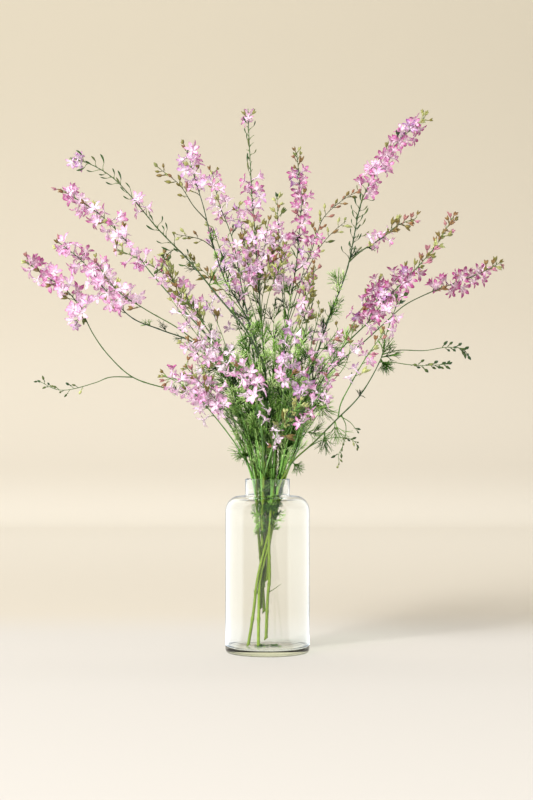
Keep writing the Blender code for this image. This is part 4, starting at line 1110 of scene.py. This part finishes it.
def thread_leaves(rng, foot, line, across, length, rows):
    """The skin of finely cut leaves: a stalk, five fanned ribs and two forks on each rib.

    A rib's way is line x cos a + across x sin a, and a fork's the same from its rib, each a little off.
    """
    count = len(foot)
    length = length[:, None]
    fan = foot + line * length * 0.22
    stalks = bent_tubes(foot, foot + line * length * 0.12, fan, LEAF_STALK_RADII, 3, rows)
    angle = (RIB_ANGLES + rng.normal(0, 0.12, (count, 5)))[..., None]
    rib = line[:, None] * np.cos(angle) + across[:, None] * np.sin(angle)
    rib = unit(rib + rng.normal(0, 0.10, (count, 5, 3)))
    reach = (length * RIB_SHARES * rng.uniform(0.8, 1.15, (count, 5)))[..., None]
    start = np.broadcast_to(fan[:, None], rib.shape)
    middle = start + unit(rib + line[:, None] * 0.6) * reach * 0.5
    end = start + rib * reach
    ribs = bent_tubes(start, middle, end, RIB_RADII, 3, np.repeat(rows, 5))
    square = unit(across[:, None] - rib * (across[:, None] * rib).sum(axis=-1, keepdims=True))[:, :, None]
    turn = (FORK_ANGLES + rng.normal(0, 0.10, (count, 5, 2)))[..., None]
    fork = rib[:, :, None] * np.cos(turn) + square * np.sin(turn)
    fork = unit(fork + rng.normal(0, 0.09, fork.shape))
    base = bend(start[:, :, None], middle[:, :, None], end[:, :, None], FORK_PLACES[:, None])
    span = reach[:, :, None] * FORK_SHARES[:, None]
    knee = base + unit(fork + rib[:, :, None] * 0.6) * span * 0.5
    forks = bent_tubes(base, knee, base + fork * span, FORK_RADII, 3, np.repeat(rows, 10))
    return joined(stalks, ribs, forks)


def gathered(points, *rest):
    """A skin drawn in by the vase's neck: its points' reach r becomes limit x tanh(r / limit).

    The limit is the neck's room, and opens steadily above the lip, and below the neck up to the body's room.
    Where it passes the free reach, the points stay.
    """
    height = points[:, 2:]
    below = np.minimum(NECK_OPENING * np.maximum(NECK_FOOT - height, 0.0), BODY_REACH - NECK_REACH)
    limit = NECK_REACH + NECK_OPENING * np.maximum(height - VASE_HEIGHT, 0.0) + below
    across = points[:, :2] - NECK_MIDDLE
    reach = np.linalg.norm(across, axis=1, keepdims=True) + 1e-9
    drawn = NECK_MIDDLE + across / reach * limit * np.tanh(reach / limit)
    return np.hstack([np.where(limit < FREE_REACH, drawn, points[:, :2]), height]), *rest


def leaves_along(rng, route, start, end, spacing, size, pale):
    """Leaves up a stalk, in the axils along it, fewer near the lip and far from the vase's axis."""
    along = np.arange(start, end, spacing)
    along = np.clip(along + rng.uniform(-0.4, 0.4, len(along)) * spacing, 0.001, route.length - 0.002)
    foot, way = route.at(along), route.heading(along)
    reach = np.hypot(foot[:, 0], foot[:, 1])
    share = LEAST_LEAFY + (1 - LEAST_LEAFY) / (1 + np.exp((reach - LEAFY_REACH) / LEAFY_FADE * 4))
    near_lip = np.clip((foot[:, 2] - LIP_FROM) / LIP_STRETCH, LIP_LEAFY, 1.0)
    keep = rng.uniform(0, 1, len(along)) < share * near_lip
    keep[0] = True
    foot, way = foot[keep], way[keep]
    out = out_of(way, rng.uniform(0, 2 * math.pi, (len(foot), 1)))
    # The higher a leaf stands, the wider it opens, the shorter it is and the darker its green.
    opened = np.clip((foot[:, 2:] - ABOVE_LIP) / 0.16, 0.12, 0.70)
    line = unit(way * (1.1 - 0.3 * opened) + out * opened + UP * 0.15)
    across = unit(np.cross(line, rng.normal(0, 1, line.shape)))
    length = size * rng.uniform(0.65, 1.20, len(foot)) * np.clip(1.35 - 1.2 * foot[:, 2], 0.6, 1.0)
    rows = np.clip(pale + 1.3 * (0.36 - foot[:, 2]) + rng.normal(0, 0.40, len(foot)), 0, 1)
    return gathered(*thread_leaves(rng, foot, line, across, length, rows))


def leaf_green():
    """Soft matt leaf thread: green by its row, paler to its end, and a little light passes through it."""
    finish, tree, shader, out = new_finish("thread_leaf", Roughness=0.5, Specular_IOR_Level=0.2)
    along, row = chart_of(tree)
    green = scaled(tree, colour_ramp(tree, row, LEAF_COLOURS), between(tree, along, 0.0, 1.0, 0.60, 1.40))
    add_mottle(tree, shader, green, object_place(tree), scale=260.0, strength=0.28, relief=0.2)
    let_light_through(tree, shader, out, 0.15, put(tree, "BsdfTranslucent", {"Color": LEAF_GLOW}))
    return finish


leaf_finish = leaf_green()
rng = np.random.default_rng(700)
leafy = {name: [] for name in STEMS}
owner = {name: name for name in STEMS}
for name in STEMS:
    route = routes[name]
    start, end = route.distance_at_height(ABOVE_LIP), route.length - SPIKES[name][0] / 1000 + 0.02
    leafy[name].append(leaves_along(rng, route, start, end, LEAF_SPACING, LEAF_LENGTH, 0.42))
for name, (parent, _, _) in BRANCHES.items():
    route = routes[name]
    owner[name] = owner[parent]
    end = route.length - SPIKES[name][0] / 1000 + 0.01
    leaves = leaves_along(rng, route, 0.004, end, LEAF_SPACING * 1.3, LEAF_LENGTH * 0.85, 0.40)
    leafy[owner[name]].append(leaves)
for number, (parent, height, tip) in enumerate(LEAFY_SHOOTS):
    foot = routes[parent].at_height(height)
    over = tip - foot
    route = Route([foot, foot + over * (0.12, 0.12, 0.25), foot + over * (0.45, 0.45, 0.60), foot + over])
    skin = stalk_skin(route, SHOOT_RADII, SHOOT_SIDES, SHOOT_STEP, row=0.2 + number * 0.37 % 1)
    new_piece(f"leafy_shoot_{number}", skin, branch_finish)
    leaves = leaves_along(rng, route, SHOOT_BARE, route.length, SHOOT_LEAF_SPACING, LEAF_LENGTH * 0.9, 0.50)
    leafy[parent].append(leaves)
for stem, height, tip, length in CLEAR_LEAVES:
    foot = np.tile(routes[stem].at_height(height), (2, 1))
    line = unit(tip - foot + rng.normal(0, 0.006, (2, 3)))
    rows = rng.uniform(0.08, 0.48, 2)
    across = unit(np.cross(line, rng.normal(0, 0.35, (2, 3)) + (0, 1, 0)))
    leafy[stem].append(thread_leaves(rng, foot, line, across, np.full(2, length), rows))
for name, skins in leafy.items():
    stands_for = {"far_left": ["leaf_left"], "low_right": ["leaf_right"]}.get(name, [])
    new_piece("foliage_of_" + name, joined(*skins), leaf_finish, stands_for)


# What shows through the glass: leaves on the stems' first hand-breadth under the neck, a short sprig on one
# stem and a bud stub on another, and scraps of leaf that have dropped to the floor of the vase.

NECK_LEAVES_FROM = 0.168
TUCKED_LEAVES = 24
# The share of them that hang down, and how steeply.
HANGING, HANG = 0.35, -0.6
# Leaves that stick out under the neck: the stem and the height where each leaves, its tip and its length.
SIDE_LEAVES = (
    ("far_left", 0.205, (-0.045, -0.014, 0.214), 0.021), ("left", 0.196, (-0.045, 0.004, 0.21), 0.020),
    ("arching", 0.208, (-0.045, -0.022, 0.196), 0.022), ("tall_left", 0.188, (-0.04, -0.02, 0.192), 0.020),
    ("left", 0.178, (-0.04, -0.01, 0.184), 0.018), ("far_left", 0.222, (-0.045, 0.006, 0.214), 0.020),
    ("right", 0.205, (0.045, -0.01, 0.214), 0.020), ("low_right", 0.196, (0.042, -0.02, 0.2), 0.020),
    ("right", 0.182, (0.038, -0.01, 0.192), 0.016),
)
SPRIG_RADII = ((0.0, 0.0007), (1.0, 0.0003))
SPRIG_STEP = 0.002
SPRIGS = (
    ("tall_right", 0.090, ((0.010, -0.014, 0.096), (0.0195, -0.014, 0.103))),
    ("low_right", 0.084, ((-0.0195, -0.006, 0.089), (-0.0205, -0.006, 0.094))),
)
SCRAPS = 26
SCRAP_RADIUS = 0.0008
SCRAP_HEIGHT = FLOOR_THICKNESS + 0.0016

tucked = []
for name in STEMS:
    route = routes[name]
    low, high = (route.distance_at_height(height) for height in (NECK_LEAVES_FROM, ABOVE_LIP))
    share = rng.uniform(0, 1, TUCKED_LEAVES) ** 0.5
    along = low + (high - low) * share
    foot, way = route.at(along), route.heading(along)
    out = out_of(way, rng.uniform(0, 2 * math.pi, (TUCKED_LEAVES, 1)))
    down = np.where(rng.uniform(0, 1, (TUCKED_LEAVES, 1)) < HANGING, HANG, 1.0)
    line = unit(way * down + out * rng.uniform(0.15, 0.55, (TUCKED_LEAVES, 1)))
    length = rng.uniform(0.010, 0.024, TUCKED_LEAVES) * (0.6 + 0.5 * share)
    rows = rng.uniform(0.05, 0.62, TUCKED_LEAVES)
    tucked.append(gathered(*thread_leaves(rng, foot, line, unit(np.cross(line, out)), length, rows)))
for stem, height, tip, length in SIDE_LEAVES:
    foot = routes[stem].at_height(height)[None]
    line = unit(tip - foot)
    across = unit(np.cross(line, rng.normal(0, 0.8, (1, 3)) + (0, 1, 0)))
    rows = rng.uniform(0.3, 0.8, 1)
    tucked.append(gathered(*thread_leaves(rng, foot, line, across, np.array([length]), rows)))
new_piece("leaves_in_the_neck", joined(*tucked), leaf_finish)
for number, sprig in enumerate(SPRIGS):
    skin = stalk_skin(shoot_route(*sprig), SPRIG_RADII, SHOOT_SIDES, SPRIG_STEP)
    new_piece(f"sprig_{number}", skin, stem_finish)
spread = np.linspace(-0.016, 0.016, SCRAPS) + rng.normal(0, 0.002, SCRAPS)
foot = np.column_stack([spread, rng.uniform(-0.016, 0.014, SCRAPS), np.full(SCRAPS, SCRAP_HEIGHT)])
flat = unit(np.column_stack([rng.normal(0, 1, (SCRAPS, 2)), np.zeros(SCRAPS)]))
size, width = rng.uniform(0.004, 0.008, SCRAPS), np.full(SCRAPS, SCRAP_RADIUS)
skin = pods(foot, flat, flat[:, [1, 0, 2]], size, width, POD_RINGS, rng.uniform(0.05, 0.40, SCRAPS))
new_piece("fallen_scraps", skin, leaf_finish)


# The studio: a pale paper floor that sweeps up into a cream backdrop, lit by a broad soft lamp from the left
# and front, a weak one from the right and a strip on the wall. Two white cards shine in the glass's gloss.

FLOOR_COLOUR = (0.640, 0.618, 0.580, 1.0)
# How the paper's colour changes as it runs back and then up: an axis, a stretch of it and the next colour.
# Part of it is painted light: the far floor is painted paler where the lamps' light falls off, and the
# foot of the sweep paler than the wall above it, so that the backdrop comes out even.
PAPER_TONES_AND_PAINTED_LIGHT = (
    ("Y", 0.15, 0.60, (0.652, 0.604, 0.516, 1.0)),
    ("Y", 0.60, 3.20, (0.790, 0.750, 0.665, 1.0)),
    ("Z", -0.05, 0.22, (0.612, 0.566, 0.480, 1.0)),
    ("Z", 0.10, 2.00, (0.515, 0.470, 0.378, 1.0)),
)
FLOOR_AHEAD = 30.0
SWEEP_BEHIND = 3.2
SWEEP_RADIUS = 0.8
SWEEP_TOP = 9.0
SWEEP_HALF_WIDTH = 25
FLOOR_GAP = 0.0002
# A card's section, out from the glass and then up, as (distance, height).
CARD_PROFILE = ((0.090, 0.004), (0.45, 0.006), (0.58, 0.04), (0.62, 0.12), (0.62, 1.2))
CARD_LIGHT = (0.86, 0.94, 1.0, 1.0)
EDGE_SHINE = 0.60
FRONT_SHINE = 0.36


def stage_sheet(name, surface, finish):
    """A sheet of the studio through a grid of points, (along, across, 3), which is no part of the bunch."""
    points, quads, _, _ = grids(surface[None], [0])
    mesh = bpy.data.meshes.new(name)
    mesh.from_pydata(points.tolist(), [], quads.tolist())
    mesh.materials.append(finish)
    sheet = bpy.data.objects.new(name, mesh)
    bpy.context.scene.collection.objects.link(sheet)
    return sheet


def paper_with_painted_light():
    """Matt paper whose cream tone changes with the distance behind the vase and with the height.

    The paler far floor and foot of the sweep are painted light, making up for the lamps' falloff there.
    """
    finish, tree, shader, _ = new_finish("paper", Roughness=0.9, Specular_IOR_Level=0.0)
    place = put(tree, "SeparateXYZ", {0: object_place(tree)}).outputs
    colour = FLOOR_COLOUR
    for axis, start, end, next_colour in PAPER_TONES_AND_PAINTED_LIGHT:
        share = between(tree, place[axis], start, end, interpolation_type="SMOOTHSTEP")
        colour = mixed(tree, share, colour, next_colour)
    tree.links.new(colour, shader.inputs["Base Color"])
    return finish


bend_angle = np.linspace(0, math.pi / 2, 17)
back = SWEEP_BEHIND + SWEEP_RADIUS * np.sin(bend_angle)
run = np.concatenate([[-FLOOR_AHEAD, 0.0], back, [SWEEP_BEHIND + SWEEP_RADIUS]])
rise = np.concatenate([[0.0, 0.0], SWEEP_RADIUS * (1 - np.cos(bend_angle)), [SWEEP_TOP]]) - FLOOR_GAP
across = np.linspace(-SWEEP_HALF_WIDTH, SWEEP_HALF_WIDTH, 3)[:, None]
sweep = stage_sheet("sweep", np.stack(np.broadcast_arrays(across, run, rise), axis=-1), paper_with_painted_light())
sweep.data.shade_smooth()


def softbox(name, place, aim, width, height, power, colour):
    """A soft rectangular lamp turned to face a point."""
    lamp = bpy.data.lights.new(name, "AREA")
    lamp.shape = "RECTANGLE"
    lamp.size, lamp.size_y = width, height
    lamp.energy = power
    lamp.color = colour
    made = bpy.data.objects.new(name, lamp)
    made.location = place
    made.rotation_euler = (Vector(aim) - Vector(place)).to_track_quat("-Z", "Y").to_euler()
    made.visible_glossy = made.visible_transmission = False
    bpy.context.scene.collection.objects.link(made)


waist = (0.0, 0.0, 0.35)
softbox("key", (-4.2, -5.6, 4.6), waist, width=3.6, height=3.6, power=1060.0, colour=(1.0, 0.985, 0.97))
softbox("fill", (2.4, -1.6, 1.4), waist, width=1.8, height=1.8, power=10.0, colour=(1.0, 0.98, 0.96))
wall = (0.3, 4.0, 0.5)
softbox("wall_light", (0.3, 1.0, 3.4), wall, width=6.0, height=1.0, power=36.0, colour=(1.0, 0.98, 0.95))


def shining_card(name, full, last, strength):
    """A white card that curves round the vase and shows only in gloss: (-r sin a, -r cos a, z).

    The angle a runs from the camera round by the left, in degrees, and r and z follow the floor out from
    the glass and then rise. It is dim in front, has its strength from the full angle on, and fades at the
    back.
    """
    angle = np.radians(np.linspace(0.0, last, 41))
    radius, height = np.array(CARD_PROFILE).T[..., None]
    surface = np.stack([-radius * np.sin(angle), -radius * np.cos(angle), height + 0 * angle], axis=-1)
    finish, tree, _, out = new_finish(name)
    place = put(tree, "SeparateXYZ", {0: scaled(tree, object_place(tree), -1.0)}).outputs
    turned_by = worked(tree, "ARCTAN2", place["X"], place["Y"])
    near, far = math.radians(0.8 * full), math.radians(full)
    power = between(tree, turned_by, near, far, FRONT_SHINE, strength, interpolation_type="SMOOTHSTEP")
    near, far = math.radians(0.78 * last), math.radians(0.90 * last)
    fade = between(tree, turned_by, near, far, 1.0, EDGE_SHINE / strength, interpolation_type="SMOOTHSTEP")
    shine = put(tree, "Emission", {"Color": CARD_LIGHT, "Strength": worked(tree, "MULTIPLY", power, fade)})
    tree.links.new(shine.outputs[0], out.inputs["Surface"])
    card = stage_sheet(name, surface, finish)
    card.visible_camera = card.visible_diffuse = card.visible_transmission = card.visible_shadow = False


shining_card("left_card", full=74.0, last=178.0, strength=4.0)
shining_card("right_card", full=-60.0, last=-178.0, strength=3.0)

world = bpy.data.worlds.new("studio")
world.use_nodes = True
background = world.node_tree.nodes["Background"]
background.inputs["Color"].default_value = (1.0, 0.98, 0.96, 1.0)
background.inputs["Strength"].default_value = 0.40
bpy.context.scene.world = world
bpy.context.scene.view_settings.view_transform = "Standard"

# The camera stands in front, level with the bunch's waist. Its lens is raised to take in the whole bunch.
lens = bpy.data.cameras.new("camera")
lens.lens = 75.0
lens.sensor_width = 36.0
lens.shift_y = 0.040
camera = bpy.data.objects.new("camera", lens)
camera.location = (-0.0015, -2.5, 0.330)
camera.rotation_euler = (math.radians(90), 0.0, 0.0)
bpy.context.scene.collection.objects.link(camera)
bpy.context.scene.camera = camera
